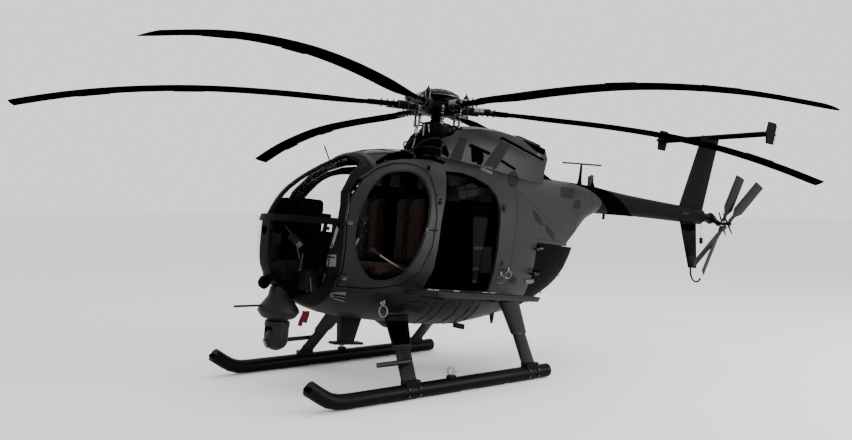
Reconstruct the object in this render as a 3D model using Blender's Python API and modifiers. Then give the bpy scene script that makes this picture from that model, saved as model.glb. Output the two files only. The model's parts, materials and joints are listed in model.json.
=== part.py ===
"""Light single-turbine utility helicopter with an egg-shaped pod, a six-blade rotor and a T-tail.

Metres, +Z up, +X towards the nose, +Y to port. The machine parks on its skids, nose up by PITCH.
Airframe pieces are drawn in the airframe's own level frame, whose Z is the main rotor mast.
The empty airframe_level tilts them all; the landing gear is drawn in the ground's frame.
"""
import math

import bmesh
import bpy
from mathutils import Matrix, Vector

# Whole machine
PITCH = math.radians(5.5)
HUB_HEIGHT = 2.573
MAST_X = 0.7760
GAP = 0.0003
DOOR_GAP = 0.005

# Pod: station x, lowest z, highest z, half width, height of the widest point
POD_STATIONS = (
    (1.800, 1.07, 1.35, 0.10, 1.20),
    (1.785, 0.96, 1.42, 0.19, 1.20),
    (1.720, 0.84, 1.55, 0.33, 1.20),
    (1.620, 0.75, 1.68, 0.43, 1.19),
    (1.420, 0.635, 1.84, 0.545, 1.18),
    (1.150, 0.545, 2.00, 0.635, 1.18),
    (0.850, 0.515, 2.12, 0.680, 1.19),
    (0.500, 0.490, 2.17, 0.695, 1.21),
    (0.100, 0.475, 2.18, 0.695, 1.23),
    (-0.350, 0.490, 2.17, 0.670, 1.27),
    (-0.750, 0.575, 2.15, 0.600, 1.33),
    (-1.150, 0.665, 2.13, 0.490, 1.42),
    (-1.500, 0.815, 2.13, 0.380, 1.52),
    (-1.750, 0.965, 2.13, 0.300, 1.62),
    (-1.880, 1.14, 2.13, 0.258, 1.70),
    (-1.945, 1.40, 2.13, 0.245, 1.79),
    (-2.150, 1.68, 2.130, 0.205, 1.91),
    (-2.400, 1.813, 2.127, 0.157, 1.970),
)
POD_POINTS = 26
POD_STEPS = 2
POD_SQUARE = 2.3
POD_SQUARE_TAIL = 2.0
SKIN = 0.030
DOOR_SKIN = 0.018
GLASS_DEPTH = 0.010
GLASS_THICK = 0.006
SEAM_NOSE = ((1.34, 0.2), (1.34, 1.40), (1.29, 1.63), (1.15, 1.805), (1.00, 1.905), (1.00, 2.5))
SILL_Z = 0.783
FIREWALL_X = -0.98

# Doors and windows, outlines in the airframe's side view (x, z)
DOOR_OUTLINE = (
    (1.32, 0.825), (1.32, 1.39), (1.27, 1.62), (1.13, 1.79), (0.97, 1.90), (0.80, 1.97), (0.66, 1.995),
    (0.52, 1.985), (0.435, 1.92), (0.415, 1.76), (0.42, 1.53), (0.46, 1.25), (0.56, 1.01), (0.74, 0.88),
    (0.93, 0.840), (1.08, 0.825),
)
DOOR_WINDOW = (
    (0.72, 1.905), (0.90, 1.86), (1.03, 1.76), (1.17, 1.56), (1.23, 1.36), (1.23, 1.18), (1.17, 1.03),
    (1.08, 0.935), (0.98, 0.905), (0.84, 0.93), (0.70, 1.03), (0.585, 1.25), (0.51, 1.51), (0.485, 1.70),
    (0.52, 1.84), (0.61, 1.90),
)
REAR_DOORWAY = (
    (0.485, 0.855), (0.42, 1.04), (0.37, 1.49), (0.28, 1.78), (0.21, 1.975), (0.0, 1.985), (-0.16, 1.955),
    (-0.31, 1.89), (-0.385, 1.80), (-0.405, 1.65), (-0.38, 1.45), (-0.335, 0.855),
)
WINDSCREEN = (
    (1.95, 1.415), (1.375, 1.415), (1.325, 1.655), (1.185, 1.845), (1.07, 1.935), (1.07, 2.2), (1.95, 2.2),
)
CHIN_WINDOW = (
    (1.95, 1.355), (1.42, 1.355), (1.44, 1.05), (1.415, 0.86), (1.46, 0.75), (1.55, 0.70), (1.66, 0.70),
    (1.76, 0.80), (1.95, 0.86),
)
ROOF_WINDOW = ((0.95, 0.05), (0.95, 0.33), (0.87, 0.38), (0.56, 0.38), (0.48, 0.33), (0.48, 0.05))
RAIL_HALF = 0.022
COLUMN_HALF = 0.080
DOOR_HINGE = ((1.335, 0.592, 1.38), (1.335, 0.577, 0.90))
ENGINE_DOOR_TOP = 1.385
ENGINE_DOOR_FRONT = -1.03
ENGINE_HINGE_Y = 0.560
HINGE_R = 0.010

# Engine room
ENGINE_FRONT = -0.975
ENGINE_REAR = -1.55
EXHAUST_Z = 1.345
EXHAUST_R = 0.078
EXHAUST_END = -1.88
EXHAUST_NOTCH = (
    (-1.70, 1.37), (-1.70, 1.43), (-1.90, 1.575), (-2.07, 1.665), (-2.3, 1.665), (-2.3, 1.37),
)
DOOR_CORNER = ((-1.84, 1.40), (-1.88, 1.375), (-1.925, 1.32), (-1.96, 1.24), (-2.1, 1.24), (-2.1, 1.45))
BLADE_ANTENNA = ((-2.325, 2.10), (-2.345, 2.265), (-2.385, 2.265), (-2.395, 2.10))
TAIL_FLOOR = ((-1.69, 1.425), (-1.90, 1.577), (-2.08, 1.670), (-2.08, 1.682), (-1.90, 1.589), (-1.69, 1.437))

# Cabin
FLOOR_Z = 0.70
FLOOR_THICK = 0.03
SEAT_Y = 0.33

# Cowl behind the mast: station x at its top, top z, half width at the foot, half width near the top, and
# how far forward of its top a station's foot stands
COWL_STATIONS = (
    (0.20, 2.36, 0.255, 0.155, 0.0),
    (0.03, 2.450, 0.270, 0.180, 0.0),
    (-0.18, 2.500, 0.290, 0.200, 0.0),
    (-0.40, 2.532, 0.300, 0.215, 0.0),
    (-0.68, 2.546, 0.305, 0.215, 0.0),
    (-1.08, 2.518, 0.290, 0.198, 0.0),
    (-1.40, 2.465, 0.262, 0.175, 0.11),
)
COWL_FOOT_Z = 1.86
COWL_SEAM = ((0.14, 1.7), (0.125, 2.22), (0.085, 2.375), (0.0, 2.45), (-0.06, 2.7))
FAIRING_STATIONS = (
    (0.325, 2.19, 0.150, 0.080, 0.0),
    (0.295, 2.255, 0.185, 0.110, 0.0),
    (0.245, 2.350, 0.215, 0.130, 0.0),
    (0.165, 2.435, 0.240, 0.150, 0.0),
    (0.080, 2.462, 0.262, 0.175, 0.0),
    (-0.10, 2.466, 0.275, 0.190, 0.0),
)
MAST_ROOM_R = 0.225
RING_ROOM = (0.265, 2.440)

# Tail
BOOM_PROFILE = ((-2.4003, 0.157), (-3.00, 0.127), (-3.60, 0.114), (-4.60, 0.100))
BOOM_Z = 1.970
GEARBOX_X = -4.76
GEARBOX_R = 0.088
TAIL_HUB = (-4.70, 0.28, 1.897)
TAIL_ROTOR_R = 0.790
TAIL_CHORD = 0.130
TAIL_PITCH = math.radians(-30)
TAIL_SECTIONS = (
    (0.05, 0.05, 0.040, 0.0), (0.15, 0.045, 0.024, TAIL_PITCH), (0.25, TAIL_CHORD, 0.018, TAIL_PITCH),
    (TAIL_ROTOR_R, TAIL_CHORD, 0.014, TAIL_PITCH),
)
STAB_Z = 3.06
STAB_SPAN = 1.665

# Main rotor
ROTOR_R = 4.14
ROTOR_Z = 2.657
BLADE_CHORD = 0.171
BLADE_FIRST = math.radians(29.28)
BLADES = 6
BLADE_ROOT = 0.42
ARM_R = 0.046
BLADE_DROOP = 0.0325
DROOP_POWER = 2.3
DROOP_START = 1.3
RING_TOP = -0.172
RING_BASE = -0.192
HUB_PROFILE = (
    (0.0, 0.190), (0.09, 0.183), (0.16, 0.161), (0.210, 0.125), (0.218, 0.110), (0.17, 0.102),
    (0.055, 0.095), (0.055, 0.075), (0.15, 0.070), (0.19, 0.045), (0.20, 0.02), (0.20, -0.04),
    (0.13, -0.078), (0.046, -0.082),
    (0.046, RING_TOP), (0.125, RING_TOP), (0.130, RING_BASE), (0.0, RING_BASE),
)
LINK_OUT = 0.193
LINK_SIDE = 0.134
POST_OUT = 0.280
DAMPER_SIDE = 0.115

# Landing gear, in the ground's frame
SKID_Y = 0.932
SKID_R = 0.066
SKID_REAR = -0.65
SKID_TIP = (2.00, 0.215)
STRUT_X = (1.00, -0.42)
STRUT_TOP = ((0.834, 0.465, 0.66), (-0.57, 0.465, 0.70))
STRUT_INSET = 0.030
STRUT_CHORD = 0.165
STRUT_THICK = 0.070
STEP_Y = 0.840
STEP_Z = 0.305
STEP_X = (0.94, 1.28)
TOW_RING_X = 0.55

# Side benches: plan of one board, and the height of its top
BENCH_OUTLINE = (
    (0.72, 0.66), (0.68, 0.90), (0.60, 1.03), (0.54, 1.05), (-0.50, 1.05), (-0.62, 1.02), (-0.70, 0.80),
)
BENCH_Z = 0.848

# Belly sensor: side views of its box and of its base plate
SENSOR_BOX = ((0.70, 0.62), (0.975, 0.62), (0.943, 0.275), (0.80, 0.275))
SENSOR_PLATE = ((0.70, 0.285), (1.02, 0.285), (1.02, 0.262), (0.70, 0.262))

# Sensor turret
TURRET_X = 1.60
TURRET_R = 0.112
TURRET_Z = 0.310
TURRET_NECK_Z = 0.478
TURRET_SLOT = 0.076

COLOURS = {
    "hull_paint": (0.040, 0.040, 0.038, 0.55, 0.0),
    "dark_paint": (0.018, 0.018, 0.018, 0.60, 0.0),
    "rotor_black": (0.010, 0.010, 0.010, 0.55, 0.0),
    "bare_metal": (0.300, 0.295, 0.285, 0.40, 0.9),
    "clear_glazing": (0.600, 0.620, 0.620, 0.05, 0.0),
    "seat_fabric": (0.085, 0.045, 0.028, 0.90, 0.0),
    "cabin_black": (0.012, 0.012, 0.012, 0.80, 0.0),
}


def clear_scene():
    for obj in list(bpy.data.objects):
        bpy.data.objects.remove(obj, do_unlink=True)


def collection(name, parent=None):
    made = bpy.data.collections.new(name)
    (parent or bpy.context.scene.collection).children.link(made)
    return made


def make_materials():
    made = {}
    for name, (red, green, blue, rough, metal) in COLOURS.items():
        material = bpy.data.materials.new(name)
        material.use_nodes = True
        shader = material.node_tree.nodes["Principled BSDF"]
        shader.inputs["Base Color"].default_value = (red, green, blue, 1.0)
        shader.inputs["Roughness"].default_value = rough
        shader.inputs["Metallic"].default_value = metal
        made[name] = material
    made["clear_glazing"].node_tree.nodes["Principled BSDF"].inputs["Alpha"].default_value = 0.3
    return made


clear_scene()
PARTS = collection("helicopter")
CUTTERS = collection("cutters")
MATERIALS = make_materials()


def empty(name, location=(0.0, 0.0, 0.0), parent=None):
    made = bpy.data.objects.new(name, None)
    made.location = location
    made.parent = parent
    PARTS.objects.link(made)
    return made


ORIGIN = empty("helicopter_origin", (MAST_X, 0.0, 0.0))
LEVEL = empty(
    "airframe_level",
    (HUB_HEIGHT * math.sin(PITCH), 0.0, HUB_HEIGHT * (1 - math.cos(PITCH))),
    ORIGIN,
)
LEVEL.rotation_euler = (0.0, -PITCH, 0.0)


def object_from(name, bm, material, parent):
    """An object made from a bmesh, as a part when it has a material and as a hidden cutter when not."""
    bmesh.ops.recalc_face_normals(bm, faces=bm.faces)
    mesh = bpy.data.meshes.new(name)
    bm.to_mesh(mesh)
    bm.free()
    made = bpy.data.objects.new(name, mesh)
    made.parent = parent
    if material:
        mesh.materials.append(MATERIALS[material])
        PARTS.objects.link(made)
    else:
        made.hide_render = True
        made.display_type = "WIRE"
        CUTTERS.objects.link(made)
    return made


def smooth(obj, degrees=35.0):
    obj.data.shade_smooth()
    obj.data.set_sharp_from_angle(angle=math.radians(degrees))
    return obj


def loft(name, rings, material=None, parent=LEVEL):
    """A closed skin through rings of equally many points."""
    bm = bmesh.new()
    loops = [[bm.verts.new(point) for point in ring] for ring in rings]
    count = len(loops[0])
    for near, far in zip(loops, loops[1:]):
        for i in range(count):
            j = (i + 1) % count
            bm.faces.new((near[i], near[j], far[j], far[i]))
    bm.faces.new(loops[0])
    bm.faces.new(loops[-1])
    bmesh.ops.triangulate(bm, faces=bm.faces)
    return object_from(name, bm, material, parent)


def box(name, low, high, material=None, parent=LEVEL, bevel=0.0):
    bm = bmesh.new()
    bmesh.ops.create_cube(bm, size=1.0)
    size = [b - a for a, b in zip(low, high)]
    middle = [(a + b) / 2 for a, b in zip(low, high)]
    bmesh.ops.scale(bm, vec=size, verts=bm.verts)
    bmesh.ops.translate(bm, vec=middle, verts=bm.verts)
    made = object_from(name, bm, material, parent)
    if bevel:
        add_bevel(made, bevel)
    return made


def rod(name, start, end, radius, material=None, parent=LEVEL, sides=12, radius_end=None):
    """A round bar, or a cone, between two points."""
    start = Vector(start)
    end = Vector(end)
    bm = bmesh.new()
    bmesh.ops.create_cone(
        bm,
        cap_ends=True,
        segments=sides,
        radius1=radius,
        radius2=radius if radius_end is None else radius_end,
        depth=(end - start).length,
    )
    turn = Vector((0, 0, 1)).rotation_difference(end - start).to_matrix().to_4x4()
    bmesh.ops.transform(bm, matrix=Matrix.Translation((start + end) / 2) @ turn, verts=bm.verts)
    return smooth(object_from(name, bm, material, parent))


def ball(name, centre, radius, material=None, parent=LEVEL, segments=16):
    bm = bmesh.new()
    bmesh.ops.create_uvsphere(bm, u_segments=segments, v_segments=segments // 2, radius=radius)
    bmesh.ops.translate(bm, vec=centre, verts=bm.verts)
    return smooth(object_from(name, bm, material, parent))


def slab(name, outline, low, high, plane="XZ", material=None, parent=LEVEL):
    """A flat outline given thickness: a side view outline along Y, or a plan outline along Z."""
    curve = bpy.data.curves.new(name, "CURVE")
    curve.dimensions = "2D"
    curve.fill_mode = "BOTH"
    curve.extrude = (high - low) / 2
    spline = curve.splines.new("POLY")
    spline.points.add(len(outline) - 1)
    for point, (a, b) in zip(spline.points, outline):
        point.co = (a, b, 0.0, 1.0)
    spline.use_cyclic_u = True
    drawn = bpy.data.objects.new(name + "_outline", curve)
    PARTS.objects.link(drawn)
    bpy.context.view_layer.update()
    mesh = bpy.data.meshes.new_from_object(drawn.evaluated_get(bpy.context.evaluated_depsgraph_get()))
    bpy.data.objects.remove(drawn, do_unlink=True)
    bm = bmesh.new()
    bm.from_mesh(mesh)
    bpy.data.meshes.remove(mesh)
    bmesh.ops.remove_doubles(bm, verts=bm.verts, dist=0.00001)
    middle = (low + high) / 2
    if plane == "XZ":
        bmesh.ops.rotate(bm, matrix=Matrix.Rotation(math.pi / 2, 3, "X"), verts=bm.verts)
        bmesh.ops.translate(bm, vec=(0, middle, 0), verts=bm.verts)
    else:
        bmesh.ops.translate(bm, vec=(0, 0, middle), verts=bm.verts)
    return object_from(name, bm, material, parent)


def turned(name, profile, material=None, parent=LEVEL, steps=24, start=0.0):
    """A shape turned about Z from a profile of (radius, z), which runs down its outer side."""
    mesh = bpy.data.meshes.new(name)
    bm = bmesh.new()
    points = [bm.verts.new((radius * math.cos(start), radius * math.sin(start), z)) for radius, z in profile]
    for a, b in zip(points, points[1:]):
        bm.edges.new((a, b))
    bm.to_mesh(mesh)
    bm.free()
    made = bpy.data.objects.new(name, mesh)
    made.parent = parent
    screw = made.modifiers.new("Turn", "SCREW")
    screw.axis = "Z"
    screw.steps = steps
    screw.render_steps = steps
    screw.use_merge_vertices = True
    screw.merge_threshold = 0.0001
    screw.use_smooth_shade = True
    if material:
        mesh.materials.append(MATERIALS[material])
        PARTS.objects.link(made)
    else:
        made.hide_render = True
        made.display_type = "WIRE"
        CUTTERS.objects.link(made)
    return made


def tube(name, points, radius, material=None, parent=LEVEL, sides=2):
    """A round tube along points, as a mesh with welded caps."""
    curve = bpy.data.curves.new(name, "CURVE")
    curve.dimensions = "3D"
    curve.bevel_depth = radius
    curve.bevel_resolution = sides
    curve.use_fill_caps = True
    spline = curve.splines.new("POLY")
    spline.points.add(len(points) - 1)
    for point, place in zip(spline.points, points):
        point.co = (*place, 1.0)
    drawn = bpy.data.objects.new(name + "_line", curve)
    PARTS.objects.link(drawn)
    bpy.context.view_layer.update()
    mesh = bpy.data.meshes.new_from_object(drawn.evaluated_get(bpy.context.evaluated_depsgraph_get()))
    bpy.data.objects.remove(drawn, do_unlink=True)
    bm = bmesh.new()
    bm.from_mesh(mesh)
    bpy.data.meshes.remove(mesh)
    bmesh.ops.remove_doubles(bm, verts=bm.verts, dist=0.00001)
    return smooth(object_from(name, bm, material, parent))


def add_bevel(obj, width, segments=2):
    bevel = obj.modifiers.new("Bevel", "BEVEL")
    bevel.width = width
    bevel.segments = segments
    bevel.limit_method = "ANGLE"
    return obj


def boolean(obj, operation, *others):
    for other in others:
        modifier = obj.modifiers.new(operation.title(), "BOOLEAN")
        modifier.operation = operation
        modifier.solver = "EXACT"
        modifier.object = other
    return obj


def cut(obj, *cutters):
    return boolean(obj, "DIFFERENCE", *cutters)


def keep_inside(obj, *regions):
    return boolean(obj, "INTERSECT", *regions)


def join(obj, *others):
    return boolean(obj, "UNION", *others)


def mirrored(outline, side):
    return [(x, y * side) for x, y in outline]


def span(side, near, far):
    """The lower and upper y of a stretch on the port (+1) or starboard (-1) side."""
    return sorted((side * near, side * far))


def rounded(outline, steps=3):
    """A closed Catmull-Rom curve through an outline's points."""
    count = len(outline)
    made = []
    for i in range(count):
        before, here, after, beyond = (Vector(outline[(i + k) % count]) for k in (-1, 0, 1, 2))
        for step in range(steps):
            t = step / steps
            made.append(spline_point(before, here, after, beyond, t))
    return [tuple(point) for point in made]


def spline_point(before, here, after, beyond, t):
    return 0.5 * (
        2 * here
        + (after - before) * t
        + (2 * before - 5 * here + 4 * after - beyond) * t * t
        + (3 * here - before - 3 * after + beyond) * t ** 3
    )


def inset_outline(outline, distance):
    """The outline moved inwards by a distance, along the mean of each corner's two normals."""
    count = len(outline)
    area = sum(
        outline[i][0] * outline[(i + 1) % count][1] - outline[(i + 1) % count][0] * outline[i][1]
        for i in range(count)
    )
    sign = 1 if area > 0 else -1
    made = []
    for i in range(count):
        before = (Vector(outline[i]) - Vector(outline[i - 1])).normalized()
        after = (Vector(outline[(i + 1) % count]) - Vector(outline[i])).normalized()
        normal_a = Vector((-before.y, before.x)) * sign
        normal_b = Vector((-after.y, after.x)) * sign
        mean = (normal_a + normal_b).normalized()
        reach = distance / max(0.4, mean.dot(normal_a))
        made.append(tuple(Vector(outline[i]) + mean * reach))
    return made


# Pod


def pod_rows():
    """The pod's stations, with rows added between them on a smooth curve."""
    rows = [Vector(station) for station in POD_STATIONS]
    first = 2 * rows[0] - rows[1]
    last = 2 * rows[-1] - rows[-2]
    padded = [first] + rows + [last]
    made = []
    for i in range(1, len(padded) - 2):
        for step in range(POD_STEPS):
            made.append(five_point(padded[i - 1:i + 3], step / POD_STEPS))
    made.append(tuple(rows[-1]))
    return made


def five_point(rows, t):
    before, here, after, beyond = rows
    return tuple(
        0.5 * (
            2 * here[k]
            + (after[k] - before[k]) * t
            + (2 * before[k] - 5 * here[k] + 4 * after[k] - beyond[k]) * t * t
            + (3 * here[k] - before[k] - 3 * after[k] + beyond[k]) * t ** 3
        )
        for k in range(5)
    )


def pod_ring(row):
    x, low, high, half, middle = row
    tail = min(1.0, max(0.0, (-1.2 - x) / 1.0))
    power = 2 / (POD_SQUARE + (POD_SQUARE_TAIL - POD_SQUARE) * tail)
    ring = []
    for i in range(POD_POINTS):
        angle = 2 * math.pi * i / POD_POINTS
        side = math.copysign(abs(math.cos(angle)) ** power, math.cos(angle))
        rise = abs(math.sin(angle)) ** power
        z = middle + rise * (high - middle) if math.sin(angle) > 0 else middle - rise * (middle - low)
        ring.append((x, half * side, z))
    return ring


POD = loft("pod_outside", [pod_ring(row) for row in pod_rows()])


def pod_inset(name, depth):
    """The pod's surface moved inwards along its normals."""
    bm = bmesh.new()
    bm.from_mesh(POD.data)
    bm.normal_update()
    moves = [(vert, vert.normal.copy()) for vert in bm.verts]
    for vert, normal in moves:
        vert.co -= normal * depth
    return object_from(name, bm, None, LEVEL)


POD_INSIDE = pod_inset("pod_inside", SKIN)
DOOR_INSIDE = pod_inset("door_inside", DOOR_SKIN)
POD_ROOM = pod_inset("pod_room", SKIN + GAP)
POD_GROWN = pod_inset("pod_grown", -GAP)
GLASS_OUTSIDE = pod_inset("glass_outside", GLASS_DEPTH)
GLASS_INSIDE = pod_inset("glass_inside", GLASS_DEPTH + GLASS_THICK)
WIDE = 1.0


def skin_piece(name, inside=None):
    """A whole pod skin, to be trimmed to one panel."""
    piece = bpy.data.objects.new(name, POD.data.copy())
    piece.data.materials.append(MATERIALS["hull_paint"])
    piece.parent = LEVEL
    PARTS.objects.link(piece)
    smooth(piece)
    return cut(piece, inside or POD_INSIDE)


DOOR_CUT = slab("door_cut", inset_outline(DOOR_OUTLINE, -DOOR_GAP), -WIDE, WIDE)
DOORWAY_CUT = slab("doorway_cut", REAR_DOORWAY, -WIDE, WIDE)
WINDOW_CUT = slab("door_window_cut", rounded(DOOR_WINDOW, 2), -WIDE, WIDE)


def pane(name, outline, side, near, far):
    """A window pane that fills its opening, inside the thickness of the skin."""
    low, high = span(side, near + GAP, far)
    piece = bpy.data.objects.new(name, GLASS_OUTSIDE.data.copy())
    piece.data.materials.append(MATERIALS["clear_glazing"])
    piece.parent = LEVEL
    PARTS.objects.link(piece)
    smooth(piece)
    cut(piece, GLASS_INSIDE)
    region = slab(name + "_region", inset_outline(outline, GAP), low, high)
    return keep_inside(piece, region)


def canopy():
    """Nose column, windscreen rails and posts, chin and windscreen openings."""
    piece = skin_piece("canopy_frame")
    forward = [(x + GAP / 2, z) for x, z in SEAM_NOSE] + [(2.1, 2.5), (2.1, 0.2)]
    keep_inside(piece, slab("canopy_region", forward, -WIDE, WIDE))
    join(piece, rod("screen_whip", (1.20, 0, 1.94), (1.28, 0, 2.09), 0.006, sides=6))
    for side, word in ((1, "port"), (-1, "starboard")):
        cut(
            piece,
            slab("windscreen_cut_" + word, WINDSCREEN, *span(side, RAIL_HALF, WIDE)),
            slab("chin_cut_" + word, CHIN_WINDOW, *span(side, COLUMN_HALF, WIDE)),
        )
        pane("windscreen_" + word, WINDSCREEN, side, RAIL_HALF, WIDE)
        pane("chin_window_" + word, CHIN_WINDOW, side, COLUMN_HALF, WIDE)
    return piece


def cabin():
    """Upper cabin skin with pillars and roof, and the belly below the sills."""
    upper = skin_piece("cabin_shell")
    edge = [(x - GAP / 2, z) for x, z in SEAM_NOSE]
    above = [(FIREWALL_X + GAP / 2, SILL_Z + GAP / 2), (edge[0][0], SILL_Z + GAP / 2), *edge[1:]]
    above.append((FIREWALL_X + GAP / 2, 2.5))
    keep_inside(upper, slab("cabin_region", above, -WIDE, WIDE))
    cut(upper, DOOR_CUT, DOORWAY_CUT)
    belly = skin_piece("belly_shell")
    low = (FIREWALL_X + GAP / 2, -WIDE, 0.2)
    keep_inside(belly, box("belly_region", low, (edge[0][0], WIDE, SILL_Z - GAP / 2)))
    for side, word in ((1, "port"), (-1, "starboard")):
        outline = mirrored(ROOF_WINDOW, side)
        cut(upper, slab("roof_cut_" + word, outline, 1.9, 2.5, "XY"))
        glass = bpy.data.objects.new("roof_window_" + word, GLASS_OUTSIDE.data.copy())
        glass.data.materials.append(MATERIALS["clear_glazing"])
        glass.parent = LEVEL
        PARTS.objects.link(glass)
        cut(smooth(glass), GLASS_INSIDE)
        keep_inside(glass, slab("roof_pane_" + word, inset_outline(outline, GAP), 1.9, 2.5, "XY"))


def front_door(side, word, frame):
    """A front door with its window, hinged at its front edge."""
    pivot = empty("door_axis_" + word, (DOOR_HINGE[1][0], side * DOOR_HINGE[1][1], DOOR_HINGE[1][2]), LEVEL)
    piece = skin_piece("front_door_" + word, DOOR_INSIDE)
    region = slab("door_region_" + word, inset_outline(DOOR_OUTLINE, DOOR_GAP), *span(side, 0.05, WIDE))
    keep_inside(piece, region)
    cut(piece, WINDOW_CUT)
    glass = pane("door_glass_" + word, rounded(DOOR_WINDOW, 2), side, 0.05, WIDE)
    for part in (piece, glass):
        hang(part, pivot)
    top, bottom = (Vector((x, side * y, z)) for x, y, z in DOOR_HINGE)
    for number, place in enumerate((bottom, top), 1):
        feet = ((0.015, 0.055), (-0.032, -0.062))
        hinge(f"door_hinge_{word}_{number}", frame, piece, place, top - bottom, feet, side * 0.505)


def hinge(name, fixed, moving, low, axis, feet, inner_y, height=0.030):
    """Two knuckles on one pin line, the lower on the fixed piece and the upper on the moving one.

    low is the pin line's point between them and axis its direction upwards.
    feet holds, for the fixed and the moving knuckle, how far from the pin its foot starts and ends
    along X. Each foot reaches inwards to inner_y; a thin strap joins it to the pin outside the skin.
    """
    up = Vector(axis).normalized()
    for owner, word, foot, start, end in (
        (fixed, "fixed", feet[0], -height, -GAP / 2),
        (moving, "moving", feet[1], GAP / 2, height),
    ):
        base = Vector(low) + up * start
        top = Vector(low) + up * end
        pin = rod(f"{name}_{word}_pin", base, top, HINGE_R, sides=8)
        low_z, high_z = base.z + 0.004, top.z - 0.004
        near, far = sorted((low[0], low[0] + foot[1]))
        strap_y = (low[1] - 0.006, low[1] + 0.006)
        strap = box(f"{name}_{word}_strap", (near, strap_y[0], low_z), (far, strap_y[1], high_z))
        near, far = sorted((low[0] + foot[0], low[0] + foot[1]))
        inner, outer = sorted((inner_y, low[1]))
        sole = box(f"{name}_{word}_foot", (near, inner, low_z + 0.001), (far, outer, high_z - 0.001))
        join(owner, pin, strap, sole)


def hang(part, pivot):
    """Parents a part to its joint's empty and leaves it where it is drawn."""
    part.parent = pivot
    part.matrix_parent_inverse = pivot.matrix_basis.inverted()


def rear_fuselage():
    """Upper rear pod, with the two clamshell engine doors below it."""
    piece = skin_piece("rear_fuselage")
    keep_inside(piece, box("rear_region", (-3.0, -WIDE, 0.2), (FIREWALL_X - GAP / 2, WIDE, 2.5)))
    outlet = rod("exhaust_hole", (-1.75, 0, EXHAUST_Z), (-2.2, 0, EXHAUST_Z), EXHAUST_R + 0.012, sides=20)
    cut(
        piece,
        box("engine_door_cut", (-3.0, -WIDE, 0.2), (ENGINE_DOOR_FRONT + DOOR_GAP, WIDE, ENGINE_DOOR_TOP)),
        outlet,
        slab("exhaust_notch", EXHAUST_NOTCH, -WIDE, WIDE),
    )
    tail_floor = slab("tail_floor", TAIL_FLOOR, -0.3, 0.3)
    antenna = slab("blade_antenna", BLADE_ANTENNA, -0.008, 0.008)
    join(piece, keep_inside(tail_floor, POD), antenna)
    for side, word in ((1, "port"), (-1, "starboard")):
        pivot = empty("engine_door_axis_" + word, (ENGINE_DOOR_FRONT, side * ENGINE_HINGE_Y, 1.2), LEVEL)
        door = skin_piece("engine_door_" + word, DOOR_INSIDE)
        low, high = span(side, DOOR_GAP / 2, WIDE)
        corner = (ENGINE_DOOR_FRONT, high, ENGINE_DOOR_TOP - DOOR_GAP)
        keep_inside(door, box("engine_region_" + word, (-3.0, low, 0.2), corner))
        cut(door, outlet, slab("door_corner_" + word, DOOR_CORNER, low, high))
        hang(door, pivot)
        for number, height in enumerate((1.07, 1.33), 1):
            place = Vector((ENGINE_DOOR_FRONT, side * ENGINE_HINGE_Y, height))
            feet = ((0.016, 0.040), (-0.012, -0.045))
            hinge(f"engine_door_hinge_{word}_{number}", piece, door, place, (0, 0, 1), feet, side * 0.47)


def firewall_and_engine():
    wall = box("engine_firewall", (ENGINE_FRONT, -0.7, 0.4), (ENGINE_FRONT + 0.02, 0.7, 2.3), "cabin_black")
    keep_inside(wall, POD_ROOM)
    box("engine", (ENGINE_REAR, -0.20, 1.16), (ENGINE_FRONT - GAP, 0.20, 1.60), "bare_metal", bevel=0.03)
    start = (ENGINE_REAR - GAP, 0, EXHAUST_Z)
    pipe = rod("exhaust_pipe", start, (EXHAUST_END, 0, EXHAUST_Z), EXHAUST_R, "bare_metal", sides=20)
    mouth = (EXHAUST_END - 0.1, 0, EXHAUST_Z)
    bore = rod("exhaust_bore", (ENGINE_REAR - 0.15, 0, EXHAUST_Z), mouth, EXHAUST_R - 0.006, sides=20)
    cut(pipe, bore)


def cowl_rings(stations):
    rings = []
    for x, top, foot, shoulder, lean in stations:
        half = [
            (foot, COWL_FOOT_Z, 1.0),
            (foot, top - 0.30, 0.75),
            (foot * 0.97, top - 0.16, 0.4),
            (shoulder, top - 0.04, 0.1),
            (shoulder * 0.5, top - 0.006, 0.0),
        ]
        ring = [(x + lean * low, y, z) for y, z, low in half]
        ring.append((x, 0.0, top))
        ring += [(a, -b, c) for a, b, c in reversed(ring[:5])]
        rings.append(ring)
    return rings


def cowl():
    """The engine cowl, and the dark fairing ahead of it round the foot of the mast."""
    room = rod("mast_room", (0, 0, 1.8), (0, 0, 2.8), MAST_ROOM_R, sides=24)
    ring_room = rod("ring_room", (0, 0, RING_ROOM[1]), (0, 0, 2.8), RING_ROOM[0], sides=24)
    behind = [(x - GAP / 2, z) for x, z in COWL_SEAM] + [(-2.0, 2.7), (-2.0, 1.7)]
    ahead = [(x + GAP / 2, z) for x, z in COWL_SEAM] + [(1.0, 2.7), (1.0, 1.7)]
    for name, stations, region, material in (
        ("engine_cowl", COWL_STATIONS, behind, "hull_paint"),
        ("mast_fairing", FAIRING_STATIONS, ahead, "cabin_black"),
    ):
        piece = smooth(loft(name, cowl_rings(stations), material), 30)
        keep_inside(piece, slab(name + "_region", region, -WIDE, WIDE))
        cut(piece, POD_GROWN, room, ring_room)


def boom():
    profile = [(0.0, 0.0)] + [(radius, x - BOOM_PROFILE[0][0]) for x, radius in BOOM_PROFILE]
    profile.append((0.0, BOOM_PROFILE[-1][0] - BOOM_PROFILE[0][0]))
    piece = turned("tail_boom", profile, "hull_paint", steps=20, start=math.pi / 20)
    piece.location = (BOOM_PROFILE[0][0], 0.0, BOOM_Z)
    piece.rotation_euler = (0.0, math.pi / 2, 0.0)
    join(piece, rod("boom_peg", (-2.62, 0, 1.90), (-2.62, 0, 1.76), 0.016, sides=8))


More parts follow.
